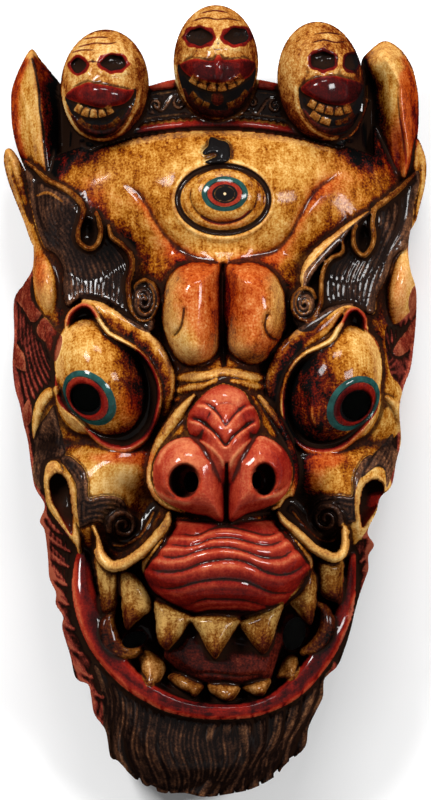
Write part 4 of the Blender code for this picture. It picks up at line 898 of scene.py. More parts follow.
def brows(mask):
    """The left and the right eyebrow, each bound by gilt scrolls."""
    brow(
        mask,
        outline=[(-120.5, 149.5), (-113, 144), (-105.5, 135.5), (-96, 130.5), (-88, 126), (-82.5, 120),
                 (-74.5, 115), (-67, 109.5), (-64, 102), (-58, 95.5), (-53, 87), (-53, 75.5), (-46, 76),
                 (-39, 72), (-35.5, 63), (-37.5, 52), (-40, 43), (-49.5, 45.5), (-58, 52.5), (-65.5, 59),
                 (-75.5, 62.5), (-85, 63), (-92.5, 59), (-96, 70), (-95.5, 81), (-100, 90.5), (-107, 96),
                 (-112, 109), (-115, 120.5), (-118, 135)],
        tip=(-120, 147),
        left=[(-116, 135), (-111, 110), (-97.5, 91), (-94, 63)],
        right=[(-82.5, 119.5), (-65, 100.5), (-54, 82), (-55, 55.5)],
        count=13)
    brow(
        mask,
        outline=[(127, 144.5), (121, 140), (114.5, 134.5), (101, 123), (90, 114), (82, 107.5), (74, 100.5),
                 (64, 90.5), (55.5, 80.5), (54, 70.5), (47.5, 63), (47, 52), (52, 44), (60, 44),
                 (66, 49.5), (73, 55.5), (80.5, 59.5), (87.5, 59), (94.5, 54.5), (99.5, 55.5), (101, 66),
                 (107.5, 77.5), (111, 87.5), (115, 93), (120, 96), (123, 110), (124.5, 124), (127.5, 135)],
        tip=(127, 143),
        left=[(80.5, 103), (69, 87), (66, 69.5), (70, 54.5)],
        right=[(126, 138), (121, 110), (110, 90.5), (99, 58)],
        count=11)
    mask.bead([
        (-119, 149, 0.6, 60), (-113, 144.5, 1, 66), (-105.5, 138, 1.5, 74), (-96, 133, 1.7, 82),
        (-88, 127.5, 1.8, 90), (-83, 120.5, 1.7, 97), (-84, 112.5, 1.6, 102), (-86, 106, 1.5, 106),
        (-85.5, 99.5, 1.5, 108), (-79.5, 95, 1.6, 109), (-74.5, 97.5, 1.6, 110), (-72, 104.5, 1.6, 111),
        (-73, 112, 1.4, 112), (-75, 117.5, 0.6, 112)], 2.6, "bronze", sink=0.2)
    mask.pit((-79.5, 106), (5, 7.5), 6, paint="black")
    mask.bead([(-112, 128, 0.5), (-106, 130, 0.8), (-100, 127.5, 0.8), (-96, 124.5, 0.5)], 1.2, "bronze")
    mask.bead([
        (-67.5, 110, 0.6, 108), (-65.5, 102.5, 1.4, 108), (-59, 97.5, 1.6, 110), (-54, 92, 1.7, 112),
        (-52.5, 84, 1.8, 114), (-54.5, 75.5, 1.8, 116), (-54.5, 67, 1.8, 117), (-52.5, 57.5, 1.8, 117),
        (-47, 51, 1.9, 118), (-40, 54, 1.9, 118), (-36, 62, 1.7, 118), (-38, 70.5, 1.6, 118),
        (-44, 75, 1.4, 118), (-49.5, 73, 1.2, 118), (-51, 68, 1, 118)], 3.0, "bronze")
    brow_curl(mask, (-45, 62.5), (8, 12), -60, 1)
    mask.bead([
        (125, 142.5, 0.6, 62), (120.5, 138, 1.4, 67), (114.5, 132, 1.7, 76), (106, 125, 1.8, 84),
        (99.5, 120, 1.8, 90), (98, 112, 1.6, 95), (99, 103, 1.5, 99), (97, 95.5, 1.5, 102),
        (92, 91, 1.6, 104), (87, 96, 1.5, 105), (86, 104, 1.4, 106), (88, 109.5, 1, 107)], 2.6, "bronze",
        sink=0.2)
    mask.pit((92, 102.5), (4.5, 7.5), 6, 10, paint="black")
    mask.bead([
        (96, 118, 1, 96), (86, 111, 2.2, 100), (77.5, 103, 3.6, 104), (68, 94.5, 4.6, 108),
        (60, 85.5, 4.6, 112), (56, 77, 3.2, 114), (55.5, 69.5, 1.5, 115)], 2.6, None)
    mask.bead([
        (79.5, 100.5, 0.6, 107), (79, 93, 1.3, 108), (72, 89.5, 1.5, 109), (68, 84, 1.6, 110),
        (66, 75.5, 1.6, 112), (66, 68, 1.6, 114), (65, 59.5, 1.7, 116), (59.5, 51, 1.8, 117),
        (53, 52, 1.8, 118), (48, 57.5, 1.7, 118), (49, 65, 1.6, 118), (54, 70, 1.5, 118),
        (59.5, 69.5, 1.3, 118), (62.5, 64.5, 1, 118)], 2.8, "bronze")
    brow_curl(mask, (55.5, 60.5), (7, 9), -120, -1)
    mask.darken((75, 98, 16, 5, 0.9, 42), (-97.5, 100.5, 15, 25, 0.5), (-55, 87, 4, 16, 1.0))
    mask.blush((71, 94.5, 19, 6, 0.5, 42))


def eyes(mask):
    """Bulging eyeballs bored through, in sockets whose upper lid rolls over into a hook."""
    sockets = (
        [(-94, 44.5), (-92, 54), (-87.5, 59), (-82, 61), (-77, 58), (-72.5, 50.5), (-66, 42.5), (-59, 38),
         (-49.5, 32.5), (-41, 24), (-35.5, 11), (-35, -0.5), (-38, -15), (-45.5, -25), (-56, -30.5),
         (-67.5, -29), (-77, -22.5), (-85, -12.5), (-99, 0.5), (-99.5, 25.5)],
        [(95, 44.5), (94, 53), (89, 58), (84, 57.5), (80, 52.5), (77.5, 45.5), (72.5, 39), (65, 34),
         (55, 29), (46, 19), (42, 5.5), (42, -9), (47, -21), (55.5, -29.5), (68, -32), (79, -29),
         (87.5, -22), (97, -12), (102.5, 0.5), (102.5, 32)])
    balls = (((-72, 15), (27, 39), 22), ((73.5, 11), (29, 39.5), -22))
    for socket, (centre, radii, turn) in zip(sockets, balls):
        win, depth = mask.depth_near(socket, 30)
        floor = 110 - 5 * into(depth, 6)
        mask.front[win] = np.where(depth > 0, floor, mask.front[win])
        mask.tint(win, depth, "red")
        # painted shade deepening into the socket round the eyeball
        mask.shade_and_stain[win] += 1.2 * into(depth, 2)
        mask.ball(centre, radii, 101, 134, 1, turn=turn)
        mask.tint_oval(centre, radii, turn, None)
        mask.shade_and_stain -= 1.2 * into(1 - mask.oval(centre, radii, turn), 0.08)
    mask.bead([
        (-82.5, 62.5, 1.5, 112), (-72, 57.5, 4, 117), (-61, 48, 6.5, 121), (-49.5, 40.5, 7, 123),
        (-39, 30, 7, 123), (-32, 15.5, 6, 120), (-32, -0.5, 5, 116), (-35, -14.5, 3, 108)], 3.4, None,
        sink=2)
    mask.bead([
        (85, 60, 1.5, 112), (74.5, 55, 5, 117), (64, 46, 7, 121), (52.5, 37.5, 7, 123), (43, 27.5, 7, 123),
        (37.5, 14.5, 6, 120), (37, -0.5, 5, 116), (40, -15.5, 3, 108)], 3.4, None, sink=2)
    bands = (
        ([(-74, 55.5), (-62.5, 45.5), (-50, 37.5), (-39.5, 26), (-33, 10.5), (-34, -3)], 1.6),
        ([(74, 52.5), (64, 44), (52.5, 35), (44, 25), (39, 10.5), (39, -3)], 1.4))
    for band, amount in bands:
        mask.shade_line(band, 3.6, amount)
        mask.blush_line(band, 3.0, 0.3)
    irises = (
        ((-79, 2), (-80.5, 1.5), (-81.5, 1), (-81, 2), -48),
        ((86, -1.5), (87, -2), (87.5, -3), (87.5, -2.5), 48))
    for outer, ring_centre, pupil, bore, turn in irises:
        mask.front += 0.8 * into(1 - mask.oval(outer, (19.5, 14), turn), 0.2)
        mask.tint_oval(outer, (19.5, 14), turn, "teal")
        mask.tint_oval(ring_centre, (16, 11.5), turn, "black")
        mask.tint_oval(ring_centre, (15.5, 11), turn, "red")
        mask.darken((*ring_centre, 16, 12, 1.5, turn))
        mask.pit(pupil, (11, 8.5), 20, turn, 0.3, "black")
        mask.tint_oval(pupil, (11, 8), turn, "black")
        mask.drill(bore, (9.5, 8), turn)
    rims = (
        [(-94, 44, 0.7, 112), (-92.5, 52.5, 1, 114), (-88, 57.5, 1.2, 117), (-82.5, 60, 1.2, 120),
         (-77.5, 57.5, 1.2, 122), (-73, 50.5, 1.2, 124), (-67, 42.5, 1.3, 126), (-59.5, 38, 1.3, 127),
         (-50, 32.5, 1.3, 127), (-42, 24, 1.4, 126), (-36, 11, 1.4, 123), (-35.5, -0.5, 1.6, 120),
         (-39, -14.5, 1.8, 117), (-45.5, -24.5, 2, 114), (-56, -30, 2, 111), (-67.5, -28, 1.8, 109),
         (-76, -22.5, 1.6, 108), (-84, -13, 1, 108)],
        [(94.5, 44, 0.7, 112), (93, 52.5, 1.1, 115), (88, 57.5, 1.3, 118), (83, 56, 1.3, 120),
         (79.5, 50, 1.3, 122), (76, 44, 1.3, 124), (72, 38, 1.4, 126), (65, 34, 1.4, 127),
         (55, 29, 1.4, 127), (46, 19, 1.5, 126), (42, 5.5, 1.6, 123), (42, -9, 1.8, 120),
         (47, -21, 2, 116), (55.5, -29.5, 2, 113), (68, -32, 2, 110), (79, -29, 1.8, 108),
         (87.5, -22, 1.6, 108), (95.5, -12.5, 1, 108)])
    for rim in rims:
        mask.bead(rim, 2.0, None, sink=0.4)
        line = plan(rim)
        mask.shade_line(line, 1.0, -1.0)
        mask.blush_line(line[11:], 2.5, 1.0)
        mask.blush_line(line[:6], 2.0, 1.2)
    mask.groove([(-59.5, 15), (-55, 9.5), (-53, 2.5), (-52.5, -5.5)], 0.5, 1.0, "red", fade=3)
    mask.groove([(57.5, 0.5), (58, -10.5), (63, -19)], 0.45, 0.8, "red", fade=3)
    mask.groove([(-90, 38), (-95, 36), (-98, 30.5), (-99.5, 22), (-99, 12)], 0.7, 1.0)
    mask.groove([(99, 39.5), (102.5, 32), (104, 23)], 0.6, 0.8)
    # painted shade in the crevices between eyeballs, lids and nose; the two negative ovals are painted
    # highlights on the upper eyeballs
    mask.darken(
        (-46, 4, 8, 32.5, 1.5, 10), (-59, -19.5, 22.5, 6, 1.3, 12), (-57.5, 32, 22.5, 4.5, 1.0, -38),
        (-59, 0.5, 12.5, 25, 0.5), (50, 4, 9.5, 34, 1.6, -10), (64, -20.5, 24, 8, 1.4, -8),
        (59, 24.5, 24, 6, 1.2, 38), (65, 5.5, 24, 34, 1.5), (-52.5, 7, 7.5, 25, 0.9, 22),
        (-82.5, 32, 14, 14, -0.4), (89, 30.5, 7.5, 14, -0.5))
    mask.blush((-52.5, -5.5, 12.5, 22.5, 1.0), (60, 0.5, 17.5, 27.5, 0.9))
    mask.bead([(59.5, -2.5, 0.6), (60, -9.5, 0.9), (62.5, -17, 0.6)], 0.8)
    mask.shade_line([(60, -2.5), (60.5, -9.5), (63, -17)], 0.8, -0.9)
    inner_rims = (
        [(-74.5, -20), (-67, -24.5), (-59.5, -26), (-52, -24.5), (-45.5, -19.5), (-40.5, -12)],
        [(45.5, -15), (51, -22), (59, -27.5), (67, -29.5), (75.5, -29), (82.5, -24.5)])
    for inner in inner_rims:
        mask.shade_line(inner, 1.8, -0.9)
    # painted shade in the corners of the sockets
    mask.darken(
        (-29, 18, 3, 27.5, 0.8), (34.5, 18, 3, 27.5, 0.9), (-82, 54.5, 7.5, 5, 0.6), (87.5, 52, 6, 5, 0.6),
        (-34, -19.5, 5.5, 9, 0.8), (42.5, -22, 5.5, 9, 0.9))
    mask.blush((-59, -35.5, 26, 5, 1.5), (64, -37, 26, 5.5, 1.4))


def nose(mask):
    """Red nose: leaf-shaped nostril wings, the stepped bridge between them, gilded side bands."""
    base = [(6, 10.5), (-7.5, 6), (-16, -0.5), (-25, -9.5), (-32.5, -19.5), (-39, -30.5), (-42, -43),
            (-41, -54), (-36, -62.5), (-27, -67.5), (-10, -72.5), (6, -75), (22.5, -72.5), (37.5, -68),
            (46, -62), (50.5, -53), (51, -43), (47.5, -32), (42.5, -22), (36, -10.5), (30, -0.5), (20, 7)]
    win, depth = mask.pillow(base, 118, 150, 22, 4)
    mask.shade_and_stain[win] -= 0.4 * into(depth, 5)
    bridge = [(6, 10.5), (-0.5, 9), (-7, 5), (-12.5, -1), (-17, -7.5), (-18, -15), (-16, -22), (-8, -27),
              (0, -32.5), (6, -40.5), (12.5, -32.5), (19.5, -27), (25.5, -22), (27.5, -14.5), (25.5, -7),
              (21, -0.5), (17, 6)]
    win, depth = mask.depth_near(bridge, 40)
    mask.front[win] = np.maximum(mask.front[win], np.where(depth > 0, 146 + 12 * rounded(depth, 12), 0))
    mask.tint(win, depth, "red")
    sides = (
        [(-14, 3, 1.4, 135), (-20.5, -5, 3.4, 137), (-27, -14.5, 4.2, 136), (-32.5, -22.5, 4.2, 134),
         (-37, -32, 3.6, 131), (-40, -42, 3, 129), (-40, -51, 3, 130), (-35.5, -60, 3, 131),
         (-28, -65.5, 2.6, 132), (-19.5, -69.5, 1.4, 132)],
        [(27, 3, 1, 133), (33, -5, 2.2, 133), (39.5, -14.5, 2.6, 131), (44.5, -24.5, 2.6, 130),
         (48, -35, 2.6, 129), (49.5, -45.5, 2.4, 128), (48, -54.5, 2.2, 129), (44, -62, 2, 130),
         (36, -67.5, 1.4, 131)])
    for side in sides:
        mask.bead(side, 3.4, None)
        mask.shade_line(plan(side), 1.6, -0.4)
    wings = (
        [(5.5, -37.5), (0.5, -30), (-7.5, -24.5), (-17.5, -22), (-27.5, -24.5), (-35, -31), (-39, -40.5),
         (-39, -51), (-35.5, -59.5), (-28, -65), (-17.5, -69.5), (-6, -72), (5.5, -74)],
        [(7.5, -37.5), (12.5, -30), (19, -24.5), (27, -21), (35, -24), (42.5, -30), (47, -39), (47.5, -48),
         (45, -56), (39.5, -62.5), (30.5, -67), (20, -70.5), (7.5, -74)])
    for wing in wings:
        win, depth = mask.pillow(wing, 142, 165, 18, 1)
        mask.tint(win, depth, "red")
    mask.groove([(6.5, -38), (6.5, -49.5), (6.5, -62), (6.5, -74.5)], 1.3, 5.0)
    edges = (
        [(5.5, -43), (3, -36), (-2.5, -30), (-9, -25.5), (-17.5, -23), (-26, -25.5), (-33, -32),
         (-37, -40.5)],
        [(8, -43), (10.5, -36), (15.5, -30), (21, -25), (28, -22.5), (35.5, -25.5), (42, -32)])
    for edge in edges:
        mask.bead([(x, y, 0.9) for x, y in edge], 0.9, None, sink=-0.2)
        mask.tint(*mask.near_line(edge, 1.0), "red")
        mask.shade_line(edge, 1.0, -1.3)
    wing_creases = (
        ([(-42, -42), (-40.5, -49.5), (-35.5, -55), (-27.5, -59.5), (-20, -61), (-14, -60.5)], -3.0),
        ([(47.5, -45.5), (45, -51), (39.5, -55.5), (31, -58), (24.5, -58)], -2.6))
    # painted highlight just under each crease of the wings
    for line, lower in wing_creases:
        mask.groove(line, 1.0, 2.2, fade=4)
        mask.shade_line([(x, y + lower) for x, y in line], 1.2, -1.0)
    chevrons = (
        ([(-12.5, -3), (-7.5, -3), (-2.5, -6), (2, -11), (6, -17), (10.5, -12), (15.5, -7), (20.5, -4),
          (25, -4)], 1.6),
        ([(-17.5, -12.5), (-11, -14), (-5.5, -17.5), (0.5, -23), (6, -29.5), (11, -24), (17, -19),
          (22, -15.5), (26, -14.5)], 3.2))
    # painted shade in the groove above each chevron, pale painted highlight along its ridge
    for chevron, cut in chevrons:
        above = [(x, y + 2.2) for x, y in chevron]
        mask.groove(above, 1.4, cut, fade=3)
        mask.bead([(x, y, 0.8) for x, y in chevron], 0.9, "red", sink=0.1)
        mask.shade_line(chevron, 0.9, -1.2)
        mask.shade_line(above, 1.6, 0.9)
    # painted shade in the hollows of the bridge and in the septum groove, painted highlight on top of the
    # nose
    mask.darken(
        (6, -24.5, 15, 7.5, 0.4), (6, 2, 16, 9, -0.6), (-12.5, -8, 9, 5, 0.9, -20),
        (21, -8, 7.5, 4.5, 0.9, 20), (-9, -22, 9, 4.5, 0.8, -35), (21, -22, 9, 4.5, 0.8, 35),
        (6, -45.5, 4, 9, 0.9))
    # painted shade down the right side of the nose
    mask.shade_line([(29, 0.5), (36, -8), (42.5, -19.5), (47.5, -32), (50, -45.5), (46, -59.5)], 3.0, 0.8)
    # painted shade at the outer edge of the left wing, painted highlights on top of the wings
    mask.darken((-36, -49.5, 4.5, 14, 0.7), (-16, -38, 16, 12.5, -0.7), (30, -34.5, 11, 9, -0.3))
    # painted shade in the nostril pits
    for centre, radii in (((-20, -50), (9.5, 10.5)), ((30, -49), (7.5, 10))):
        mask.pit(centre, radii, 28, 0, 0.35, "tongue")
        mask.darken((*centre, radii[0] * 0.9, radii[1] * 0.9, 1.0))
    mask.drill((-15.5, -50.5), (4.5, 6.5))
    mask.drill((25.5, -49.5), (3, 5.5))
    # painted shade along the lower edges and outer sides of the wings and in the septum groove; painted
    # highlights on top of the wings
    mask.darken(
        (-12.5, -67, 21, 5, 0.3), (25, -65.5, 21, 5.5, 0.8), (6, -62, 5, 14, 0.7), (40, -43, 9, 19, 0.6),
        (-16, -28, 11, 4, -0.6), (25, -28, 7.5, 3, -0.4), (52.5, -43, 4, 22.5, 1.0))
    mask.blush((-35, -55.5, 9, 10, 0.8))


def snout(mask):
    """Red upper lip drawn up in overlapping wavy folds."""
    win, depth = mask.depth_near([
        (-26, -74), (-30, -82), (-35, -90), (-41, -98), (-45, -106), (-45.5, -114.5), (-42, -123),
        (-34.5, -130), (-22, -135), (-7.5, -137), (7.5, -137.5), (22.5, -136), (37.5, -132), (49, -123),
        (56, -114.5), (59.5, -105.5), (56, -97), (50.5, -89), (45, -81), (40.5, -73), (24, -74),
        (7, -74.5), (-10, -74.5)], 40)
    x, y = mask.x[win], mask.y[win]
    valleys = (
        [(-54, -72.5), (-10, -73), (6, -73), (52.5, -72)],
        [(-35, -84), (-21, -83.5), (-15, -84.5), (-9.5, -83.5), (-3.5, -80.5), (2.5, -79), (9, -79),
         (16, -80.5), (22, -82), (29, -84), (34.5, -84), (41, -80.5)],
        [(-35, -90.5), (-27.5, -90), (-19, -91), (-11, -89.5), (-3.5, -86.5), (4.5, -85.5), (12, -86),
         (19.5, -88), (27.5, -90), (34, -90), (39.5, -88.5), (45, -84.5)],
        [(-41, -97), (-34.5, -97), (-27, -98), (-19, -96.5), (-11, -93.5), (-3.5, -92), (4.5, -91.5),
         (12, -92.5), (19.5, -94.5), (27.5, -97.5), (35, -98.5), (42.5, -97.5), (49, -92.5)],
        [(-45.5, -103), (-39, -106), (-30.5, -107), (-23, -106.5), (-15, -104), (-9, -101.5), (-2, -100),
         (7.5, -99), (16, -100), (23.5, -103), (31, -107), (39, -109), (47, -108), (53, -104.5),
         (57.5, -99.5)],
        [(-46, -110), (-40, -114.5), (-32, -117), (-23, -116.5), (-15, -114), (-3.5, -112), (6, -111.5),
         (16, -112.5), (23.5, -115), (31, -118.5), (39, -120.5), (47, -119.5), (53, -115.5), (59, -109.5)],
        [(-46, -116), (-38.5, -124), (-30.5, -127.5), (-24.5, -128.5), (-16.5, -127), (-8, -124),
         (0.5, -124), (8, -124), (16, -124.5), (23.5, -126), (31, -128), (35.5, -128.5), (42, -127),
         (47.5, -124), (55.5, -117)],
        [(-47, -119.5), (-42.5, -124.5), (-36, -130), (-28, -133), (-20.5, -134.5), (-14, -134.5),
         (-7, -131.5), (0.5, -130.5), (9, -130.5), (18, -130.5), (24.5, -132), (30.5, -133.5),
         (35.5, -132.5), (42, -129.5), (49, -124.5)],
        [(-54, -134), (-22.5, -139.5), (7.5, -140.5), (37, -137), (59, -128)])
    heights = (2.4, 2.6, 3.0, 3.6, 4.4, 3.6, 2.2, 2.6)
    level = [np.interp(x, *smooth_curve(line).T) for line in valleys]
    roll = np.zeros(x.shape)
    crest = np.zeros(x.shape)
    for upper, lower, height in zip(level[:-1], level[1:], heights):
        share = into(upper - y, np.maximum(upper - lower, 0.5)) ** 0.85
        here = (share > 0) & (share < 1)
        roll = np.where(here, height * roundness((2 * share - 1) ** 2) ** 0.9, roll)
        crest = np.where(here, np.exp(-((share - 0.38) / 0.16) ** 2), crest)
    inside = into(depth, 3)
    side = into(np.abs(x - 7) - 18, 20)
    fine = np.cos(2 * np.pi * (y + 0.08 * x + 1.5 * np.sin(x / 15)) / 2.3)
    mask.front[win] += inside * (roll - 2.0 + 0.35 * side * fine) - 4 * (1 - inside) ** 2 * (depth > 0)
    mask.tint(win, depth, "red")
    # painted highlight along the crest of each fold, painted shade in the valleys
    upper_part = into(y + 112, 10)
    mask.shade_and_stain[win] += (depth > 0) * (0.55 - 0.35 * upper_part - (0.6 + 0.5 * upper_part) * crest)
    wrinkles = (
        [(-35, -122), (-25.5, -123), (-16, -120.5), (-7.5, -118.5), (6, -118), (18, -118.5),
         (26, -120.5), (35, -124), (43, -122.5)],
        [(-25, -87.5), (-19, -88), (-12.5, -87)],
        [(-31, -94), (-24, -94.5), (-16, -93), (-11, -91)],
        [(-36, -110), (-27.5, -111.5), (-17.5, -110), (-10, -106)],
        [(29, -111), (37.5, -114.5), (46, -114), (53, -110)])
    for line in wrinkles:
        mask.groove(line, 0.6, 1.0, fade=4)
    lights = (
        [(-47, -115.5), (-42, -123), (-36, -128.5), (-28.5, -131.5), (-20.5, -133), (-13.5, -132.5),
         (-6.5, -130), (0.5, -129), (9, -129), (18, -129), (24.5, -131), (30.5, -132), (35, -131),
         (41.5, -128), (46, -125)],
        [(-11, -135.5), (-3.5, -136), (4.5, -135.5), (12, -135), (21, -135), (27.5, -134), (34, -132)])
    # painted highlight along the rolls of the lower folds
    for line in lights:
        mask.shade_line(line, 0.9, -1.0)
    # painted shade under the nose and at both ends of the lip
    mask.darken((-41, -109, 6, 16, 0.6), (55.5, -109, 5.5, 16, 0.7), (7, -75.5, 37.5, 4, 0.7))
    mask.groove([
        (-8, -132), (-1, -132.5), (7.5, -132.5), (16, -132.5), (25, -133)], 1.8, 3.0, "tongue", fade=6)


def cheeks(mask):
    """Moustache bands with their curls, gilded lip ribbons, hollow horns and dark tufts."""
    ground = mask.masses
    left_band = [(-97.5, -35), (-92.5, -34), (-87, -37.5), (-82, -43), (-80, -50.5), (-79.5, -60.5),
                 (-74, -59.5), (-66, -59), (-60, -60.5), (-56, -64.5), (-55, -70), (-49.5, -72.5),
                 (-47, -77.5), (-49, -84.5), (-54, -89), (-60.5, -89.5), (-66, -86), (-69.5, -80),
                 (-73, -76), (-79, -77), (-85, -80), (-87, -73), (-87, -62), (-87.5, -53), (-91, -45.5),
                 (-96, -40)]
    right_band = [(98, -34), (93, -35.5), (89, -41), (86, -48), (85.5, -59.5), (79, -59), (71, -59.5),
                  (64, -61), (59, -66), (57.5, -73), (59.5, -80.5), (64.5, -85.5), (70.5, -87), (76, -84),
                  (79, -78), (84, -77), (89.5, -75.5), (90, -67), (89.5, -58), (90.5, -49.5), (95, -42)]
    pools = (
        [(-69, -80.5), (-67.5, -89.5), (-63, -94), (-57.5, -94), (-50.5, -90), (-44, -83), (-39, -75),
         (-35, -67.5), (-37, -62.5), (-41, -64), (-45.5, -71), (-49.5, -79), (-55, -85), (-62, -86)],
        [(46, -60), (54, -65), (58, -72.5), (60.5, -80.5), (66, -85.5), (73, -87), (79, -82), (79, -88),
         (73, -92.5), (66, -92), (60, -88), (53, -82.5), (46, -76), (40, -69)])
    for pool in pools:
        win, depth = mask.slab(pool, ground + 0.5, 2, 2, "hair", replace=True)
        lines = 1 - roundness((depth / 2.8 % 1 * 2 - 1) ** 2)
        mask.front[win] -= 1.4 * lines * into(depth, 1.5)
        mask.shade_and_stain[win] += 0.5 * into(depth, 2)
    for outline in (left_band, right_band):
        win, depth = mask.slab(outline, ground + 2.5, 2.5, 2.5, "hair", replace=True)
        lines = 1 - roundness((depth / 3.0 % 1 * 2 - 1) ** 2)
        mask.front[win] -= 2.0 * lines * into(depth, 1.5)
        mask.shade_and_stain[win] += 0.8 * into(depth, 2)
    mask.spiral((-58, -78), (9, 9), 1.7, 160, 1, 2.2, 3.4, "hair")
    mask.spiral((69, -74), (9, 9.5), 1.7, 20, -1, 2.2, 3.4, "hair")
    mask.darken((-58, -78, 10.5, 10.5, 0.3), (69, -74, 10.5, 10.5, 0.3))
    pool_edges = (
        [(-64.5, -90, 0.5), (-57.5, -90.5, 0.8), (-52, -87.5, 0.9), (-46, -82.5, 0.9), (-42, -75.5, 0.9),
         (-39, -69.5, 0.6)],
        [(48, -69, 0.5), (53, -75.5, 0.8), (59.5, -82.5, 0.9), (65.5, -87, 0.9), (72, -88, 0.8),
         (76, -85.5, 0.5)])
    for line in pool_edges:
        mask.bead(line, 1.6, "bronze", sink=-0.2)
        mask.shade_line(plan(line), 0.8, -0.8)
    ribbons = (
        [(-77, -80, 1.8, 108), (-75, -87, 2.8, 112), (-73, -94, 3.2, 116), (-69.5, -100, 3.5, 119),
         (-64.5, -103, 3.5, 122), (-58, -102, 3.5, 124), (-52.5, -99, 3.3, 127), (-46, -94, 3.2, 130),
         (-40.5, -88, 3, 132), (-35, -82, 2.8, 134), (-30.5, -75.5, 2.4, 136), (-29.5, -70.5, 1.4, 136)],
        [(39, -70, 1.4, 136), (42.5, -75, 2.2, 136), (49, -80.5, 2.5, 134), (55, -86, 2.7, 131),
         (61, -92, 2.9, 127), (68, -96, 3.1, 123), (74.5, -98, 3.1, 118), (79.5, -95, 2.9, 113),
         (81, -89, 2.6, 109), (81, -82, 2.4, 106), (80, -77.5, 1.4, 104)])
    for ribbon in ribbons:
        mask.bead(ribbon, 4.0, "gold")
        mask.shade_line(plan(ribbon), 3.0, 0.2)
        mask.shade_line([(x + 0.3, y - 1.3) for x, y, _, _ in ribbon], 0.8, -0.6)
    mask.groove([
        (-25, -76), (-29, -84.5), (-34.5, -92.5), (-40.5, -100), (-45.5, -105.5)], 1.3, 4.0, fade=3)
    mask.groove([(36, -75), (42.5, -83), (49.5, -91), (56, -99), (60, -104)], 1.3, 4.0, fade=3)
    patches = (
        [(-86, -80.5), (-82.5, -79), (-78, -78), (-75.5, -83), (-74.5, -90.5), (-77.5, -94), (-82, -92),
         (-85, -87.5)],
        [(84.5, -77), (89.5, -76), (90.5, -82), (89, -88), (85, -90.5), (83, -85.5)])
    for patch in patches:
        mask.slab(patch, ground + 1.5, 2, 2, "gold", replace=True)
    mask.blush((-81, -87, 6, 7.5, 0.5))
    horns = (
        ([(-104, -37.5), (-107, -41), (-107.5, -49), (-106, -57), (-104.5, -65), (-99.5, -74.5),
          (-94, -82), (-88, -89), (-85, -94.5), (-84.5, -87), (-86, -79.5), (-87.5, -70), (-89, -60.5),
          (-90.5, -50.5), (-94, -43), (-99, -38)],
         [(-104, -50.5), (-100, -45.5), (-95, -47.5), (-92, -54), (-90.5, -64), (-89.5, -74.5), (-90, -84),
          (-94, -78), (-98, -70.5), (-102.5, -62)], 100),
        ([(103, -43), (107, -45.5), (109, -52), (107.5, -60), (104, -69), (99, -77), (94, -83), (90, -86),
          (89, -78), (88, -68), (88, -60.5), (89.5, -53), (92.5, -47), (97.5, -43)],
         [(92, -55), (96, -50.5), (101, -49.5), (105, -53), (105, -57.5), (102.5, -63), (99, -70),
          (95, -75.5), (92, -79.5), (90.5, -74), (90, -65.5)], 98))
    for body, opening, level in horns:
        mask.slab(body, level, 3, 6, "gold")
        win, depth = mask.depth_near(opening, 30, 1)
        fall = into(mask.y[win] + 78, 36)
        floor = level - 5 - 11 * fall
        mask.front[win] = np.where(depth > 0, floor, mask.front[win])
        mask.tint(win, depth, "red")
        # painted shade deepening into the hollow of the horn
        mask.shade_and_stain[win] += (depth > 0) * (0.2 + 1.5 * fall)
        mask.bead([(x, y, 0.9) for x, y in body], 1.2, "gold", sink=0.3, closed=True)
        mask.shade_line(body + body[:1], 1.0, -0.3)
    lobes = (
        [(-113, -23, 1.2), (-112.5, -12, 2.4), (-109.5, -2, 3.2), (-104.5, 4.5, 3.6), (-99, 7, 2.4)],
        [(116, -30.5, 1), (117.5, -19.5, 2), (115.5, -9.5, 2.6), (112, -2, 2.2), (107.5, 2, 1.4)])
    for lobe in lobes:
        mask.bead(lobe, 3.4, "gold", sink=0)
        mask.shade_line(plan(lobe), 1.6, -0.5)
    tufts = (
        [(-101, -2.5), (-99, -9.5), (-97, -18), (-95, -26), (-94, -32.5), (-97.5, -36), (-102.5, -37),
         (-106, -40.5), (-107.5, -48), (-108, -56), (-112.5, -52.5), (-114.5, -45.5), (-114, -34),
         (-114, -24.5), (-111, -16), (-106, -9)],
        [(110.5, -20.5), (112.5, -27), (114.5, -35.5), (111, -44.5), (107, -54.5), (106, -44.5),
         (102.5, -41), (97.5, -43), (91, -48), (95, -38), (100, -32), (106, -25.5)])
    flows = (
        ([(-105, -7), (-112.5, -24.5), (-114.5, -50.5)], [(-99, -2.5), (-92.5, -24.5), (-97.5, -43)], 9),
        ([(105.5, -22), (94, -38), (89, -53)], [(116, -22), (116, -38), (106, -58)], 8))
    for tuft, (left, right, count) in zip(tufts, flows):
        win, depth = mask.slab(tuft, ground + 2, 3, 3, "hair", replace=True)
        inside = np.full(mask.x.shape, -FAR)
        inside[win] = depth
        mask.strands(left, right, count, 1.8, inside)
        mask.strands(left, right, 2 * count + 1, 0.7, inside)
    # painted highlight on the left cheek, painted shade in the creases beside and below the cheeks; other
    # negative ovals paint lighter patches
    mask.darken(
        (-61, -49.5, 25, 17.5, -1.3), (-91, -18, 7.5, 12.5, -0.3), (69, -49.5, 14, 9, -0.2),
        (52.5, -48, 4.5, 19, 0.8), (82.5, -48, 3, 15, 0.8), (-52, -65.5, 7.5, 4, 0.9),
        (65, -60, 15, 4, 1.2), (117.5, 73, 7.5, 21, -0.6))
    mask.blush(
        (-90, -62, 5, 19, 0.4), (-45, -43, 7.5, 22.5, 0.7), (55, -45.5, 16, 19, 1.2),
        (-95, 0.5, 11, 12.5, 0.3), (116, 74.5, 9, 21, 0.9))


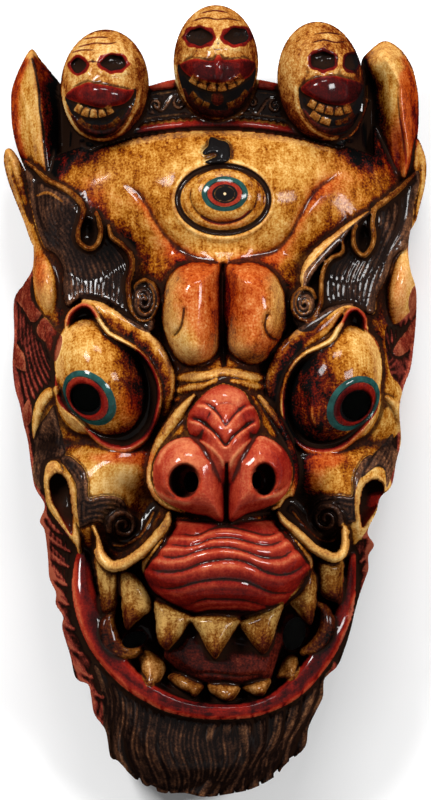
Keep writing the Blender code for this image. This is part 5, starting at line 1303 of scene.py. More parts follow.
def tooth(mask, outline, root, tip, root_height, tip_height, keel=0.0, paint="tooth"):
    """Fang with rounded edges that leans from its root to its tip."""
    win, depth = mask.depth_near(outline, 20, 1)
    run = (tip[0] - root[0], tip[1] - root[1])
    length = math.hypot(*run)
    off_x, off_y = mask.x[win] - root[0], mask.y[win] - root[1]
    share = into(off_x * run[0] + off_y * run[1], length ** 2)
    aside = (off_x * run[1] - off_y * run[0]) / length
    height = root_height + (tip_height - root_height) * share - keel * np.sqrt(aside ** 2 + 2.0)
    height = height - 9 * (1 - rounded(depth, 5.5))
    mask.front[win] = np.where(depth > 0, np.maximum(mask.front[win], height), mask.front[win])
    mask.tint(win, depth, paint)
    # darker towards the tip and at the root, lighter between
    darker_tip_and_root = 1.5 * np.clip(share * 1.7 - 0.8, 0, 1) + 0.5 * np.clip(share * -6 + 1, 0, 1) - 0.5
    mask.shade_and_stain[win] += (depth > 0) * darker_tip_and_root
    # lighter outline near the tip
    rim = np.exp(-((depth - 0.3) / 0.5) ** 2)
    mask.shade_and_stain[win] -= 0.6 * rim * (share > 0.55)


def mouth(mask):
    """Open jaw: fangs, tongue, lower teeth and the red lower lip."""
    cavity = [(-74.5, -99.5), (-70, -107), (-57, -118), (-41, -124.5), (-22.5, -132), (7, -137),
              (37, -132), (55.5, -119.5), (64, -118), (72.5, -115), (78, -109), (79.5, -124.5),
              (75.5, -138), (70, -151), (62.5, -163), (54, -174), (43, -182), (29, -188), (7.5, -191),
              (-13, -189.5), (-29, -184.5), (-42.5, -177), (-55, -167), (-65, -154.5), (-72, -140),
              (-75.5, -121)]
    win, depth = mask.depth_near(cavity, 40)
    floor = MOUTH_FLOOR + 6 + 18 * (1 - into(depth, 16))
    mask.front[win] = np.where(depth > 0, np.minimum(mask.front[win], floor), mask.front[win])
    mask.tint(win, depth, "tongue")
    mask.shade_and_stain[win] += 0.3 * (depth > 0) * into(depth, 10)
    lip = [(-82.5, -90, 3, 82), (-83, -103, 5.8, 85), (-82.5, -117, 7.4, 90), (-79.5, -129.5, 8.6, 93),
           (-75.5, -141, 8.8, 95), (-70.5, -152, 8.4, 97), (-64, -162, 7.6, 98), (-55.5, -172, 6.8, 100),
           (-45.5, -180, 6.3, 102), (-34.5, -186, 5.6, 104), (-21, -191, 5, 106), (-7, -193.5, 4.7, 107),
           (7.5, -194, 4.6, 107), (21, -193, 4.7, 106), (34, -189, 5.1, 104), (44, -183, 5.8, 102),
           (53, -175.5, 6.4, 100), (61, -166, 6.6, 98), (68, -156, 6.6, 96), (74.5, -145, 6.3, 94),
           (79, -134, 5.6, 91), (82, -122, 4.8, 87), (84, -110.5, 3.8, 83), (85, -97, 2.6, 79)]
    mask.bead(lip, 5.0, "red", sink=1, power=2.2)
    mask.shade_line(plan(lip), 5.0, 1.35)
    edge = [(-87, -99.5, 0.7, 83), (-89, -113, 0.9, 87), (-87, -127.5, 1, 91), (-82.5, -142.5, 1, 94),
            (-75.5, -157, 1, 96), (-66, -168, 1, 98), (-56, -177.5, 1, 101), (-45.5, -185.5, 1, 103),
            (-34, -192, 1, 105), (-20, -196, 1, 107), (-5.5, -198, 1, 108), (9, -198, 1, 108),
            (22.5, -197, 1, 107), (35.5, -193, 1, 105), (47, -187.5, 1, 103), (57.5, -179.5, 1, 101),
            (65.5, -170, 1, 98), (73, -159.5, 1, 95), (79.5, -147.5, 0.9, 92), (84.5, -134, 0.9, 88),
            (87, -119.5, 0.8, 84)]
    mask.bead(edge, 2.2, "red", sink=0.4)
    mask.shade_line(plan(edge), 1.0, -0.9)
    mask.slab([
        (-25, -140.5), (-30.5, -151), (-33, -159), (-28, -165), (-22, -170), (-15, -174.5), (-6, -177),
        (4, -178), (15, -178), (25, -176), (34, -174), (37, -167), (39.5, -158), (41, -147), (29, -139.5),
        (6, -135.5), (-14, -137)], 112.0, 16, 20, "tongue")
    mask.bead([
        (-28, -165, 0.7), (-22, -169.5, 0.9), (-15, -174, 0.9), (-6, -176, 0.9), (4, -177.5, 0.9),
        (15, -177.5, 0.9), (25, -175.5, 0.9), (33, -173, 0.7)], 1.0, "tongue", sink=0)
    mask.groove([
        (-20, -167), (-12.5, -170.5), (-5, -170), (4, -171), (15, -172), (25, -171), (32.5, -169.5)], 0.9,
        1.4, fade=6)
    # painted highlight on the tongue
    mask.darken((15, -164.5, 14, 9, -0.3))
    mask.blush((-7, -162, 19, 9, 0.4))
    lower = (
        ([(-51, -159), (-48, -164), (-46, -173), (-42.5, -179), (-39, -178), (-34.5, -174.5),
          (-30.5, -166), (-35, -159.5), (-44, -155.5)], (-41, -159), (-42, -178), 96, 107),
        ([(-30.5, -172), (-26, -177.5), (-21, -181), (-16, -183), (-14.5, -185.5), (-10, -182.5),
          (-7, -178), (-15, -173), (-24, -169.5)], (-20, -170.5), (-14.5, -185.5), 103, 109),
        ([(-6, -177), (-4, -182), (2, -186), (7.5, -188), (12, -185.5), (15.5, -179), (7.5, -176),
          (-1, -175.5)], (5, -176), (7, -187.5), 106, 112),
        ([(15.5, -179.5), (20, -182.5), (25, -184.5), (30, -184.5), (32.5, -180), (34.5, -174), (26, -174),
          (19, -176)], (25, -174.5), (30, -184), 104, 110),
        ([(37.5, -173), (42.5, -174), (47.5, -175), (51, -172.5), (52.5, -166), (51, -159), (45, -159),
          (40, -164.5)], (45, -159.5), (49, -174.5), 95, 105))
    for outline, root, tip, root_height, tip_height in lower:
        tooth(mask, outline, root, tip, root_height, tip_height, 0.3, "bronze")
    fangs = (
        ([(-75.5, -97), (-74.5, -109), (-73, -119.5), (-71, -131), (-67.5, -132.5), (-62, -129.5),
          (-60, -119.5), (-59.5, -108), (-64.5, -100.5)], (-67.5, -100.5), (-68, -132), 112, 110),
        ([(-60, -107), (-59.5, -124.5), (-58, -137), (-55.5, -143), (-51, -139.5), (-46, -135),
          (-40.5, -131), (-40, -124.5), (-43, -117), (-48, -110.5), (-54, -106)], (-50, -107),
          (-55.5, -142.5), 118, 120),
        ([(-39, -125.5), (-38, -137), (-37, -147), (-34.5, -153), (-30.5, -155.5), (-27, -152.5),
          (-22, -147), (-17.5, -140.5), (-13, -135), (-25, -129.5), (-32.5, -125.5)], (-25, -128),
          (-31, -155.5), 124, 128),
        ([(-16, -135.5), (-10.5, -145.5), (-6, -154.5), (-2, -160), (0.5, -161), (4.5, -155), (9.5, -147),
          (15.5, -137), (7.5, -133), (-4, -132.5)], (0, -133), (0, -161), 129, 133),
        ([(14, -138), (19.5, -147.5), (24.5, -154), (29.5, -158), (33, -155), (36, -148), (39, -138),
          (42.5, -126), (34, -129), (24.5, -132.5)], (30, -128), (30.5, -158), 126, 129),
        ([(45.5, -124.5), (50.5, -132), (55, -137), (59.5, -140.5), (62, -132), (63, -121), (63, -110.5),
          (60, -104.5), (55.5, -109.5), (51, -117)], (55.5, -110.5), (59.5, -140.5), 120, 120),
        ([(62.5, -101), (63, -117), (66, -122.5), (71, -125), (78, -126), (79.5, -115), (80, -100),
          (74.5, -100.5), (68, -98)], (71, -100.5), (74, -126), 112, 108))
    for outline, root, tip, root_height, tip_height in fangs:
        tooth(mask, outline, root, tip, root_height, tip_height, 0.22)
    gums = (
        [(-64, -130.5, 2, 99), (-67, -137, 4.4, 100), (-67, -144.5, 5.6, 101), (-65, -151, 5.6, 101),
         (-59.5, -155.5, 5, 101), (-53, -157.5, 3.6, 100), (-47.5, -155.5, 1.8, 98)],
        [(62.5, -126, 2, 99), (68, -131, 3.8, 100), (69.5, -139.5, 5, 101), (67.5, -147, 5.2, 101),
         (62, -153, 4.6, 100), (55, -157, 2.8, 98)])
    for gum in gums:
        mask.bead(gum, 4.4, "bronze")
        line = plan(gum)
        mask.shade_line(line, 5.0, 0.9)
        mask.groove([(x + (2.0 if x > 0 else -2.0), y) for x, y in line], 0.8, 1.2, fade=5)
    mask.darken(
        (-80, -97, 4.5, 7.5, 0.9), (85, -109, 4, 19, 0.8), (7.5, -189.5, 35, 2.5, 0.7),
        (-72.5, -149.5, 12.5, 25, 0.4, 20), (71, -149.5, 12.5, 25, 0.4, -20))
    mask.blush((-85, -109, 6, 19, 0.6))
    fang_tips = ((-68, -128), (-55.5, -138), (-31, -150.5), (0, -155.5), (30.5, -153), (59.5, -135.5),
                 (73, -123))
    mask.darken(*((x, y, 6, 9, 0.7) for x, y in fang_tips))
    mask.drill((-51, -149), (8, 5), 20)
    mask.drill((49, -145.5), (7, 10.5), -15)


def beard(mask):
    """Wavy locks that hang side by side from under the lip, each combed into fine strands."""
    outline = [(-72.5, -167), (-65, -172), (-55, -180.5), (-44, -188), (-31, -193), (-17.5, -197),
               (-2.5, -199), (9, -199), (24, -197.5), (37.5, -193), (49, -187), (59, -178), (69, -168),
               (67.5, -180.5), (60.5, -195.5), (57.5, -209), (54.5, -218), (44, -227), (36, -235.5),
               (22.5, -242.5), (9, -245.5), (-7, -247.5), (-19.5, -245), (-35, -244.5), (-50.5, -236),
               (-61, -225), (-66, -222), (-69.5, -204.5), (-71, -187)]
    win, depth = mask.depth_near(outline, 40)
    mask.tint(win, depth, "hair")
    count = 15
    feet = np.full(mask.x.shape, -FAR)
    # every second lock lies over the two beside it
    for k in list(range(0, count, 2)) + list(range(1, count, 2)):
        f = k / (count - 1)
        swell = math.sin(math.pi * f)
        rank = k % 2
        top = (-70 + 139 * f, -166 - 29 * swell ** 0.8)
        foot = (-61 + 109 * f + 1.6 * math.sin(5.1 * k), -224 - 21.5 * swell ** 0.6 - 1.2 * rank)
        lock = []
        for t in np.linspace(0, 1, 11):
            sway = 4.0 * math.sin(2.2 * math.pi * t + 0.55 * k - 0.6) * (0.3 + 0.7 * t)
            half = (5.4 + 0.6 * math.sin(2.3 * k)) * (1 - 0.24 * t)
            level = 68 + 24 * swell - (36 + 10 * swell) * t ** 1.4 + 0.8 * rank
            lock.append((top[0] + (foot[0] - top[0]) * t + sway,
                         top[1] + (foot[1] - top[1]) * t, half, level))
        win, dist, side, along, width = mask.bead(lock, 5.4, "hair", sink=0.6, power=1.7)
        across = dist * side
        comb = 0.55 * np.cos(2 * np.pi * across / 2.5 + 0.8 * np.sin(along / 9.0) + 2.1 * k)
        comb += 0.3 * np.cos(2 * np.pi * across / 3.3 + 0.9 * np.sin(along / 14.0) + k)
        mask.front[win] += comb * into(width - dist, 0.8)
        # locks that lie on top painted lighter, the edges of every lock darker as painted shade between
        # them
        mask.shade_and_stain[win] -= (0.15 + 0.15 * rank) * (dist < width)
        mask.shade_and_stain[win] += 1.3 * np.clip(dist / np.maximum(width, 1) * 2.2 - 1.3, 0, 1) * (dist < width)
        feet[win] = np.maximum(feet[win], width - dist)
    # the locks end as separate lobes along the lower edge
    fringe = into(-206 - mask.y, 12) * 2.0 * into(62 - np.abs(mask.x + 6), 14)
    lobed = np.minimum(mask.depth, np.maximum(mask.body - fringe, feet))
    mask.depth = np.where(mask.y < -196, lobed, mask.depth)
    mask.darken(
        (-4, -234.5, 75, 21, 0.7), (-65, -199.5, 7.5, 25, 0.5), (56, -199.5, 7.5, 25, 0.5),
        (-2.5, -200.5, 56, 4, 0.5))


def mane(mask):
    """Hair combed down both sides of the head, with flame locks on it."""
    hair = mask.paint["mane"]
    upper_left = np.where((mask.x < -91) & (mask.y < 72) & (mask.y > -30), hair, -1)
    lower_left = np.where((mask.x < -35) & (mask.y < -43), hair, -1)
    upper_right = np.where((mask.x > 84) & (mask.y < 72) & (mask.y > -12), hair, -1)
    lower_right = np.where((mask.x > 40) & (mask.y < -43), hair, -1)
    streams = (
        ([(-130, 63), (-129, 25.5), (-124, -12), (-114, -46)],
         [(-111, 63), (-109, 38), (-102.5, 20.5), (-92.5, 9.5)], 9, upper_left),
        ([(-109, -55.5), (-107.5, -99.5), (-97.5, -140), (-82.5, -187)],
         [(-85, -90), (-87.5, -124.5), (-75, -159), (-41, -194.5)], 9, lower_left),
        ([(102.5, 44.5), (107.5, 25.5), (112.5, 5.5), (116, 0.5)],
         [(127.5, 50.5), (122.5, 30.5), (120, 13), (115, -5.5)], 8, upper_right),
        ([(107.5, -55.5), (100, -99.5), (85, -149.5), (64, -190)],
         [(85, -90), (85, -124.5), (76, -152.5), (56, -187)], 8, lower_right))
    for left, right, count, area in streams:
        mask.strands(left, right, count, 2.2, area)
        mask.strands(left, right, 2 * count + 1, 0.8, area)
    leaves = (
        [(-115.5, 78), (-120, 76), (-124, 72), (-126, 67), (-124, 62), (-120.5, 57.5), (-117.5, 52.5),
         (-115.5, 49.5), (-112.5, 49.5), (-110, 52), (-109, 55), (-112.5, 59.5), (-115.5, 66)],
        [(-107.5, 52), (-112, 45.5), (-110.5, 40), (-107, 37), (-105.5, 33), (-103, 28), (-100.5, 24.5),
         (-97.5, 30.5), (-96, 39.5), (-101, 45.5)],
        [(-125.5, 36), (-122.5, 33), (-120, 29), (-119, 24.5), (-119, 19), (-122.5, 19.5), (-125.5, 22.5),
         (-127, 29.5)],
        [(125.5, 72), (122, 68), (120.5, 60.5), (122, 52), (119.5, 44.5), (114.5, 38), (111, 30.5),
         (115, 28), (121, 32), (125, 39.5), (126, 52)],
        [(-117.5, 0.5), (-115, -4.5), (-114.5, -10.5), (-117.5, -15), (-120, -12), (-120, -4.5)])
    for leaf in leaves:
        win, depth = mask.depth_near(leaf, 20, 1)
        mask.front[win] += 3.2 * rounded(depth, 4) * (depth > 0)
        mask.tint(win, depth, "tongue")
        mask.shade_and_stain[win] -= 0.5 * (depth > 0)
        mask.shade_and_stain[win] -= 1.0 * np.exp(-((depth - 0.4) / 0.5) ** 2)
    flames = (
        [(-106, -67, 1), (-104, -73, 2.8), (-99.5, -79, 3), (-92.5, -84.5, 1)],
        [(-108, -75.5, 1), (-105, -82.5, 3), (-99.5, -88, 3), (-91, -94, 1)],
        [(-106, -87, 1), (-102.5, -94, 3.2), (-97.5, -99, 3), (-90.5, -104, 1)],
        [(-104.5, -100.5, 1), (-101, -107.5, 3), (-97, -112, 2.6), (-91, -115.5, 1)],
        [(-102, -113, 1), (-99, -120, 3), (-95, -124.5, 2.4), (-90, -128, 1)],
        [(-99, -127, 1), (-97, -134, 3), (-93, -139, 2.4), (-88, -142.5, 1)],
        [(-96, -140.5, 1), (-94, -148, 3), (-90, -153, 2.4), (-84, -158, 1)],
        [(-92, -155.5, 1), (-89, -163, 3), (-84, -168, 2.4), (-77.5, -172.5, 1)],
        [(-85, -172, 1), (-81, -178, 2.6), (-76, -182, 2.2), (-70.5, -185, 1)],
        [(105, -67, 1), (102, -74.5, 2.6), (97.5, -80.5, 2.2), (92.5, -85.5, 1)],
        [(100, -82, 1), (97.5, -90, 3), (94.5, -96, 2.4), (90, -101, 1)],
        [(97, -98, 1), (94.5, -105.5, 3), (91, -112, 2.4), (87.5, -117.5, 1)],
        [(91, -117, 1), (89.5, -124.5, 3), (86, -130.5, 2.4), (83, -136, 1)],
        [(87, -134.5, 1), (84.5, -142.5, 3), (80.5, -149.5, 2.4), (77, -155.5, 1)],
        [(81, -152.5, 1), (78, -160.5, 2.8), (74.5, -167, 2.2), (70, -172.5, 1)])
    for flame in flames:
        mask.bead(flame, 2.6, "mane", power=1.6)
        mask.groove([(x, y + 1.0) for x, y, _ in flame], 0.7, 1.4)
        # painted highlight along the lower edge of each flame
        mask.shade_line([(x, y - 1.2) for x, y, _ in flame], 0.8, -0.5)
    mask.darken(
        (-112.5, 82, 6, 19, 0.8), (-96, 63, 5, 19, 0.8), (-99, -112, 12.5, 62.5, -0.6, 12),
        (92.5, -112, 11, 62.5, -0.6, -12), (-87.5, -174.5, 9, 19, -0.4), (107.5, 57, 6, 19, 0.8))
    mask.blush((-104, 66, 10, 31, 0.3), (-110, 82, 6, 19, 0.9), (112.5, 50.5, 10, 12.5, 0.6))


def hollow(mask):
    """Scoop out the back to an even wall, leaving a flat rim all round."""
    inside = mask.depth_in(HOLLOW)
    inner = into(inside, HOLLOW_ROUND)
    ceiling = blur(lowest_near(np.where(mask.depth > 0, mask.front, 0), WALL), WALL) - WALL
    scoop = np.clip(ceiling, 0, None) * np.sqrt(1 - (1 - inner) ** 2)
    mask.bare = np.where(mask.back < 60, np.clip(mask.body - TUCK_WIDTH + 2.5, -FAR, FAR), -FAR)
    mask.back = np.where((inside > 0) & (mask.back < EDGE_HEIGHT), scoop, mask.back)
    mask.back = np.where(mask.depth > 0, np.minimum(mask.back, mask.front - EDGE_WOOD), mask.back)
    mask.depth = np.minimum(mask.depth, -mask.holes)


FORMS = (face_masses, crown, ears, skulls, forehead, brows, eyes,
         nose, snout, beard, mouth, cheeks, mane, hollow)


# ------------------------------------------------------------------ from fields to a mesh
def carve():
    """All forms in their order; the carving is smoothed once, before it is hollowed."""
    mask = Carving()
    for form in FORMS:
        form(mask)
        if form is mane:
            mask.front = soften(mask.front, mask.depth > 0)
    return mask


def wood_cells(mask):
    """Cells whose four corners lie in the wood, with no two touching only at a corner."""
    inside = mask.depth > 0
    cells = inside[:-1, :-1] & inside[1:, :-1] & inside[:-1, 1:] & inside[1:, 1:]
    while True:
        a, b, c, d = cells[:-1, :-1], cells[1:, :-1], cells[:-1, 1:], cells[1:, 1:]
        crossed = (a & d & ~b & ~c) | (b & c & ~a & ~d)
        if not crossed.any():
            return cells
        i, j = np.nonzero(crossed)
        cells[i, j] = cells[i + 1, j] = cells[i, j + 1] = cells[i + 1, j + 1] = False


def settle_on_outline(mask, edge):
    """Plan position of each grid point, with those on the edge moved out to the true outline."""
    slope_x, slope_y = np.gradient(mask.depth, CELL)
    steep = np.maximum(slope_x ** 2 + slope_y ** 2, 0.2)
    shift = np.where(edge, np.clip(mask.depth, 0, 0.9 * CELL), 0)
    return mask.x - shift * slope_x / steep, mask.y - shift * slope_y / steep


def boundary(cells, number):
    """Directed edges of the cells that no other cell shares, as pairs of point numbers."""
    pad = np.pad(cells, 1)
    out = []
    for (di, dj), start, end in (((0, -1), (0, 0), (1, 0)), ((1, 0), (1, 0), (1, 1)),
                                 ((0, 1), (1, 1), (0, 1)), ((-1, 0), (0, 1), (0, 0))):
        beyond = pad[1 + di:pad.shape[0] - 1 + di, 1 + dj:pad.shape[1] - 1 + dj]
        i, j = np.nonzero(cells & ~beyond)
        out.append(np.stack([number[i + start[0], j + start[1]], number[i + end[0], j + end[1]]], axis=1))
    return np.concatenate(out)


def near_paint_edge(mask):
    """Cells beside the edge of a painted area, where the thinned mesh keeps all its vertices."""
    closest = np.full(mask.x.shape, FAR)
    for name, field in mask.paint.items():
        if name != "mane":
            closest = np.minimum(closest, np.abs(field))
    return closest < 0.8 * CELL


def make_mesh(mask):
    """Front and back skins over the wood cells, joined by walls round every edge."""
    cells = wood_cells(mask)
    around = np.zeros(mask.x.shape, dtype=int)
    for di in (0, 1):
        for dj in (0, 1):
            around[di:di + cells.shape[0], dj:dj + cells.shape[1]] += cells
    used = around > 0
    plan_x, plan_y = settle_on_outline(mask, used & (around < 4))
    number = np.full(mask.x.shape, -1)
    number[used] = np.arange(used.sum())
    skins = []
    for height in (mask.front, mask.back):
        taper = 1 - height * DRAFT
        x = plan_x * taper - LEAN * height
        skins.append(np.stack([x[used], (plan_y * taper)[used], height[used]], axis=1))
    points = np.concatenate(skins)
    mask.centre = (points[:, :2].min(axis=0) + points[:, :2].max(axis=0)) / 2
    mask.paint_edges = np.nonzero(near_paint_edge(mask)[used])[0]
    points[:, :2] -= mask.centre
    below = int(used.sum())
    i, j = np.nonzero(cells)
    quads = np.stack([number[i, j], number[i + 1, j], number[i + 1, j + 1], number[i, j + 1]], axis=1)
    edges = boundary(cells, number)
    walls = np.stack([edges[:, 0], edges[:, 0] + below, edges[:, 1] + below, edges[:, 1]], axis=1)
    return quad_mesh(points * MM, np.concatenate([quads, quads[:, ::-1] + below, walls]))


def quad_mesh(points, faces):
    """Mesh from arrays of points in metres and of four point numbers to a face."""
    mesh = bpy.data.meshes.new("mask_carving")
    mesh.vertices.add(len(points))
    mesh.vertices.foreach_set("co", points.ravel())
    mesh.loops.add(4 * len(faces))
    mesh.loops.foreach_set("vertex_index", faces.ravel())
    mesh.polygons.add(len(faces))
    mesh.polygons.foreach_set("loop_start", np.arange(0, 4 * len(faces), 4))
    mesh.update(calc_edges=True)
    mesh.validate()
    return mesh


def read_field(field, u, v):
    """Bilinear reading of a field at places given in cells."""
    i = np.clip(u.astype(int), 0, field.shape[0] - 2)
    j = np.clip(v.astype(int), 0, field.shape[1] - 2)
    a, b = u - i, v - j
    return ((1 - a) * (1 - b) * field[i, j] + a * (1 - b) * field[i + 1, j]
            + (1 - a) * b * field[i, j + 1] + a * b * field[i + 1, j + 1])


def surface_fields(mask):
    """What the paint needs to know of each place: relief at three scales and steepness for painted shade
    and highlight, blush, stain with painted shade, paints.
    """
    ground = np.where(mask.depth > -1, mask.front, mask.front[mask.depth > 0].min())
    slope = np.hypot(*np.gradient(blur(ground, 0.8), CELL))
    fields = {"steep": np.clip((slope - 0.5) / 1.6, 0, 1),
              "fine": np.clip((ground - blur(ground, 1.2)) / 0.35, -1, 1),
              "middle": np.clip((ground - blur(ground, 3.5)) / 1.6, -1, 1),
              "broad": np.clip((ground - blur(ground, 10.0)) / 7.0, -1, 1),
              "flush": mask.flush,
              "shade_and_stain": np.clip(mask.shade_and_stain, -1.4, 2)}
    for name, field in mask.paint.items():
        fields["paint_" + name] = field
    return fields


def store(mesh, name, values):
    """Put one value on every vertex under the given name."""
    layer = mesh.attributes.new(name, "FLOAT", "POINT")
    layer.data.foreach_set("value", values.astype(np.float32))


def write_fields(mask, mesh):
    """Store the fields on the vertices of the thinned mesh.

    The share runs from 0 on the back to 1 on the front. Toward the back the relief fades and stain
    gathers, and behind the skulls plain bone stands over the dark wall of the band.
    """
    points = np.empty(3 * len(mesh.vertices))
    mesh.vertices.foreach_get("co", points)
    points = points.reshape(-1, 3) / MM
    z = points[:, 2]
    taper = 1 - z * DRAFT
    u = ((points[:, 0] + mask.centre[0] + LEAN * z) / taper - mask.xs[0]) / CELL
    v = ((points[:, 1] + mask.centre[1]) / taper - mask.ys[0]) / CELL
    front = read_field(np.where(mask.depth > -1, mask.front, 0), u, v)
    back = read_field(np.where(mask.back < NOWHERE, mask.back, 0), u, v)
    share = into(z - back, np.maximum(front - back, 0.1))
    lower = into(0.62 - share, 0.2)
    above = points[:, 1] + mask.centre[1] > SKULL_BACKS
    under_skulls = lower * above * (np.abs(points[:, 0]) < SKULLS_REACH)
    shelf = np.clip((z - SHELF_HEIGHT) / 3, -1, 1)
    for name, field in surface_fields(mask).items():
        values = read_field(field, u, v)
        if name in ("fine", "middle", "broad"):
            values = values * share
        elif name == "shade_and_stain":
            values = np.minimum(values + 1.1 * lower, 2)
        elif name.startswith("paint_"):
            plain = {"paint_bone": 2 * shelf, "paint_hair": -2 * shelf}.get(name, -2)
            values = values + (plain - values) * under_skulls
        store(mesh, name, values)
    store(mesh, "paint_bare", np.where(share < 0.5, read_field(mask.bare, u, v), -FAR))


# ------------------------------------------------------------------ material
class Nodes:
    """Short hand for building a node tree."""

    def __init__(self, name):
        self.material = bpy.data.materials.new(name)
        self.material.use_nodes = True
        self.tree = self.material.node_tree
        self.shader = self.tree.nodes["Principled BSDF"]
        self.place = self.tree.nodes.new("ShaderNodeTexCoord").outputs["Object"]

    def link(self, source, socket):
        """Feed a number, a colour or the output of a node into a socket."""
        if isinstance(source, (int, float)):
            socket.default_value = source
        elif isinstance(source, tuple):
            socket.default_value = (*source, 1.0)
        else:
            self.tree.links.new(source, socket)

    def field(self, name):
        """Output of a field that is stored on the mesh."""
        node = self.tree.nodes.new("ShaderNodeAttribute")
        node.attribute_name = name
        return node.outputs["Fac"]

    def math(self, operation, a, b=0.0, c=0.0):
        """Sum, product or the like of numbers and outputs."""
        node = self.tree.nodes.new("ShaderNodeMath")
        node.operation = operation
        for source, socket in zip((a, b, c), node.inputs):
            self.link(source, socket)
        return node.outputs[0]

    def sum(self, start, *terms):
        """Start plus each term times its weight."""
        for source, weight in terms:
            start = self.math("MULTIPLY_ADD", source, weight, start)
        return start

    def ramp(self, value, low, high, out_low=0.0, out_high=1.0):
        """Smooth step from low to high."""
        node = self.tree.nodes.new("ShaderNodeMapRange")
        node.interpolation_type = "SMOOTHSTEP"
        for source, socket in zip((value, low, high, out_low, out_high), node.inputs):
            self.link(source, socket)
        return node.outputs[0]

    def noise(self, size, detail=4.0, rough=0.55, stretch=(1, 1, 1), turn=0.0):
        """Noise of about -1 to 1 with features of the given size in millimetres."""
        mapping = self.tree.nodes.new("ShaderNodeMapping")
        self.link(self.place, mapping.inputs["Vector"])
        mapping.inputs["Scale"].default_value = stretch
        mapping.inputs["Rotation"].default_value = (0, 0, math.radians(turn))
        node = self.tree.nodes.new("ShaderNodeTexNoise")
        self.link(mapping.outputs[0], node.inputs["Vector"])
        node.inputs["Scale"].default_value = 1 / (size * MM)
        node.inputs["Detail"].default_value = detail
        node.inputs["Roughness"].default_value = rough
        return self.math("MULTIPLY_ADD", node.outputs["Fac"], 4.0, -2.0)

    def colours(self, value, stops):
        """Colour ramp through the stops of a palette."""
        node = self.tree.nodes.new("ShaderNodeValToRGB")
        self.link(value, node.inputs["Fac"])
        elements = node.color_ramp.elements
        while len(elements) < len(stops):
            elements.new(0.5)
        for element, (position, colour) in zip(elements, stops):
            element.position = position
            element.color = (*colour, 1.0)
        return node.outputs["Color"]

    def mix(self, share, a, b, blend="MIX"):
        """Colour that goes from a to b by the share."""
        node = self.tree.nodes.new("ShaderNodeMix")
        node.data_type = "RGBA"
        node.blend_type = blend
        self.link(share, node.inputs["Factor"])
        self.link(a, node.inputs["A"])
        self.link(b, node.inputs["B"])
        return node.outputs["Result"]


def wood_light(n):
    """How light a place is: painted highlight and rubbed gold on raised forms, painted shade and dark
    glaze in hollows.
    """
    # painted shade in the hollows and painted highlight on raised forms, from the relief at three scales
    relief = n.sum(n.math("MULTIPLY", n.broad, 0.13), (n.middle, 0.14), (n.fine, 0.10))
    hollows = n.math("MAXIMUM", n.math("MINIMUM", relief, 0.0), -0.26)
    light = n.sum(n.math("MULTIPLY_ADD", hollows, 1.1, 0.50), (n.math("MAXIMUM", relief, 0.0), 0.30))
    calm = n.sum(light, (n.cloud, 0.08), (n.shade_and_stain, -0.24))
    # random mottling and streaks; stain and painted shade darken, and steep sides get a little painted
    # shade
    light = n.sum(light, (n.mottle, 0.20), (n.cloud, 0.12), (n.streak, 0.14), (n.grit, 0.23),
                  (n.shade_and_stain, -0.24), (n.steep, -0.06))
    return light, calm


def gilding(n, light, flush):
    """Gold worn through to red lacquer, its ridges rubbed bright with a painted highlight where no stain
    lies.
    """
    # ridges painted lighter: worn gilding and painted highlight
    rub_and_highlight = n.ramp(n.sum(n.fine, (n.middle, 0.4), (n.grit, 0.22)), 0.75, 1.35)
    rub_and_highlight = n.math("MULTIPLY", rub_and_highlight, n.ramp(n.shade_and_stain, 0.2, 1.3, 0.14, 0.0))
    gold = n.mix(rub_and_highlight, n.colours(light, GOLD), RUBBED_GOLD_AND_HIGHLIGHT)
    return n.mix(n.math("MULTIPLY", flush, 0.9), gold, n.colours(light, ROSY))


def lacquers(n, base, coat, light, calm):
    """The other paints over the gilding, each with a slightly wavering hand-laid edge."""
    # hair and mane: strand crests painted lighter as painted highlight, valleys darker as painted shade
    colours = {"mane": n.colours(n.sum(light, (n.fine, 0.38)), MANE),
               "bone": n.colours(light, BONE),
               "red": n.colours(n.sum(n.math("MULTIPLY", calm, 0.55), (light, 0.45)), RED),
               "hair": n.colours(n.sum(light, (n.fine, 0.22)), HAIR),
               "tooth": n.colours(light, TOOTH),
               "tongue": n.colours(light, TONGUE),
               "tan": n.colours(light, TAN),
               "bronze": n.colours(light, BRONZE),
               "teal": n.mix(n.ramp(n.mottle, -0.8, 1.2), TEAL_DEEP, TEAL_PALE),
               "cream": CREAM,
               "black": SOOT}
    waver = n.math("MULTIPLY", n.noise(3.5, 3.0, 0.6), 0.18)
    for name in PAINTS:
        share = n.ramp(n.math("ADD", n.field("paint_" + name), waver), -0.22, 0.22)
        base = n.mix(share, base, colours[name])
        if name in GLOSSY:
            coat = n.math("MAXIMUM", coat, n.math("MULTIPLY", share, GLOSSY[name]))
    return base, coat


def tool_marks(n, bare):
    """Uneven paint, brush streaks and, on the bare back, the dimples of the gouge."""
    gouge = n.tree.nodes.new("ShaderNodeTexVoronoi")
    gouge.feature = "SMOOTH_F1"
    gouge.inputs["Scale"].default_value = 1 / (9 * MM)
    n.link(n.place, gouge.inputs["Vector"])
    gouged = n.math("MULTIPLY", gouge.outputs["Distance"], bare)
    height = n.sum(n.math("MULTIPLY", n.grit, 0.018), (n.mottle, 0.06), (n.streak, 0.03), (gouged, 0.9))
    bump = n.tree.nodes.new("ShaderNodeBump")
    bump.inputs["Strength"].default_value = 1.0
    bump.inputs["Distance"].default_value = MM
    n.link(height, bump.inputs["Height"])
    n.link(bump.outputs[0], n.shader.inputs["Normal"])


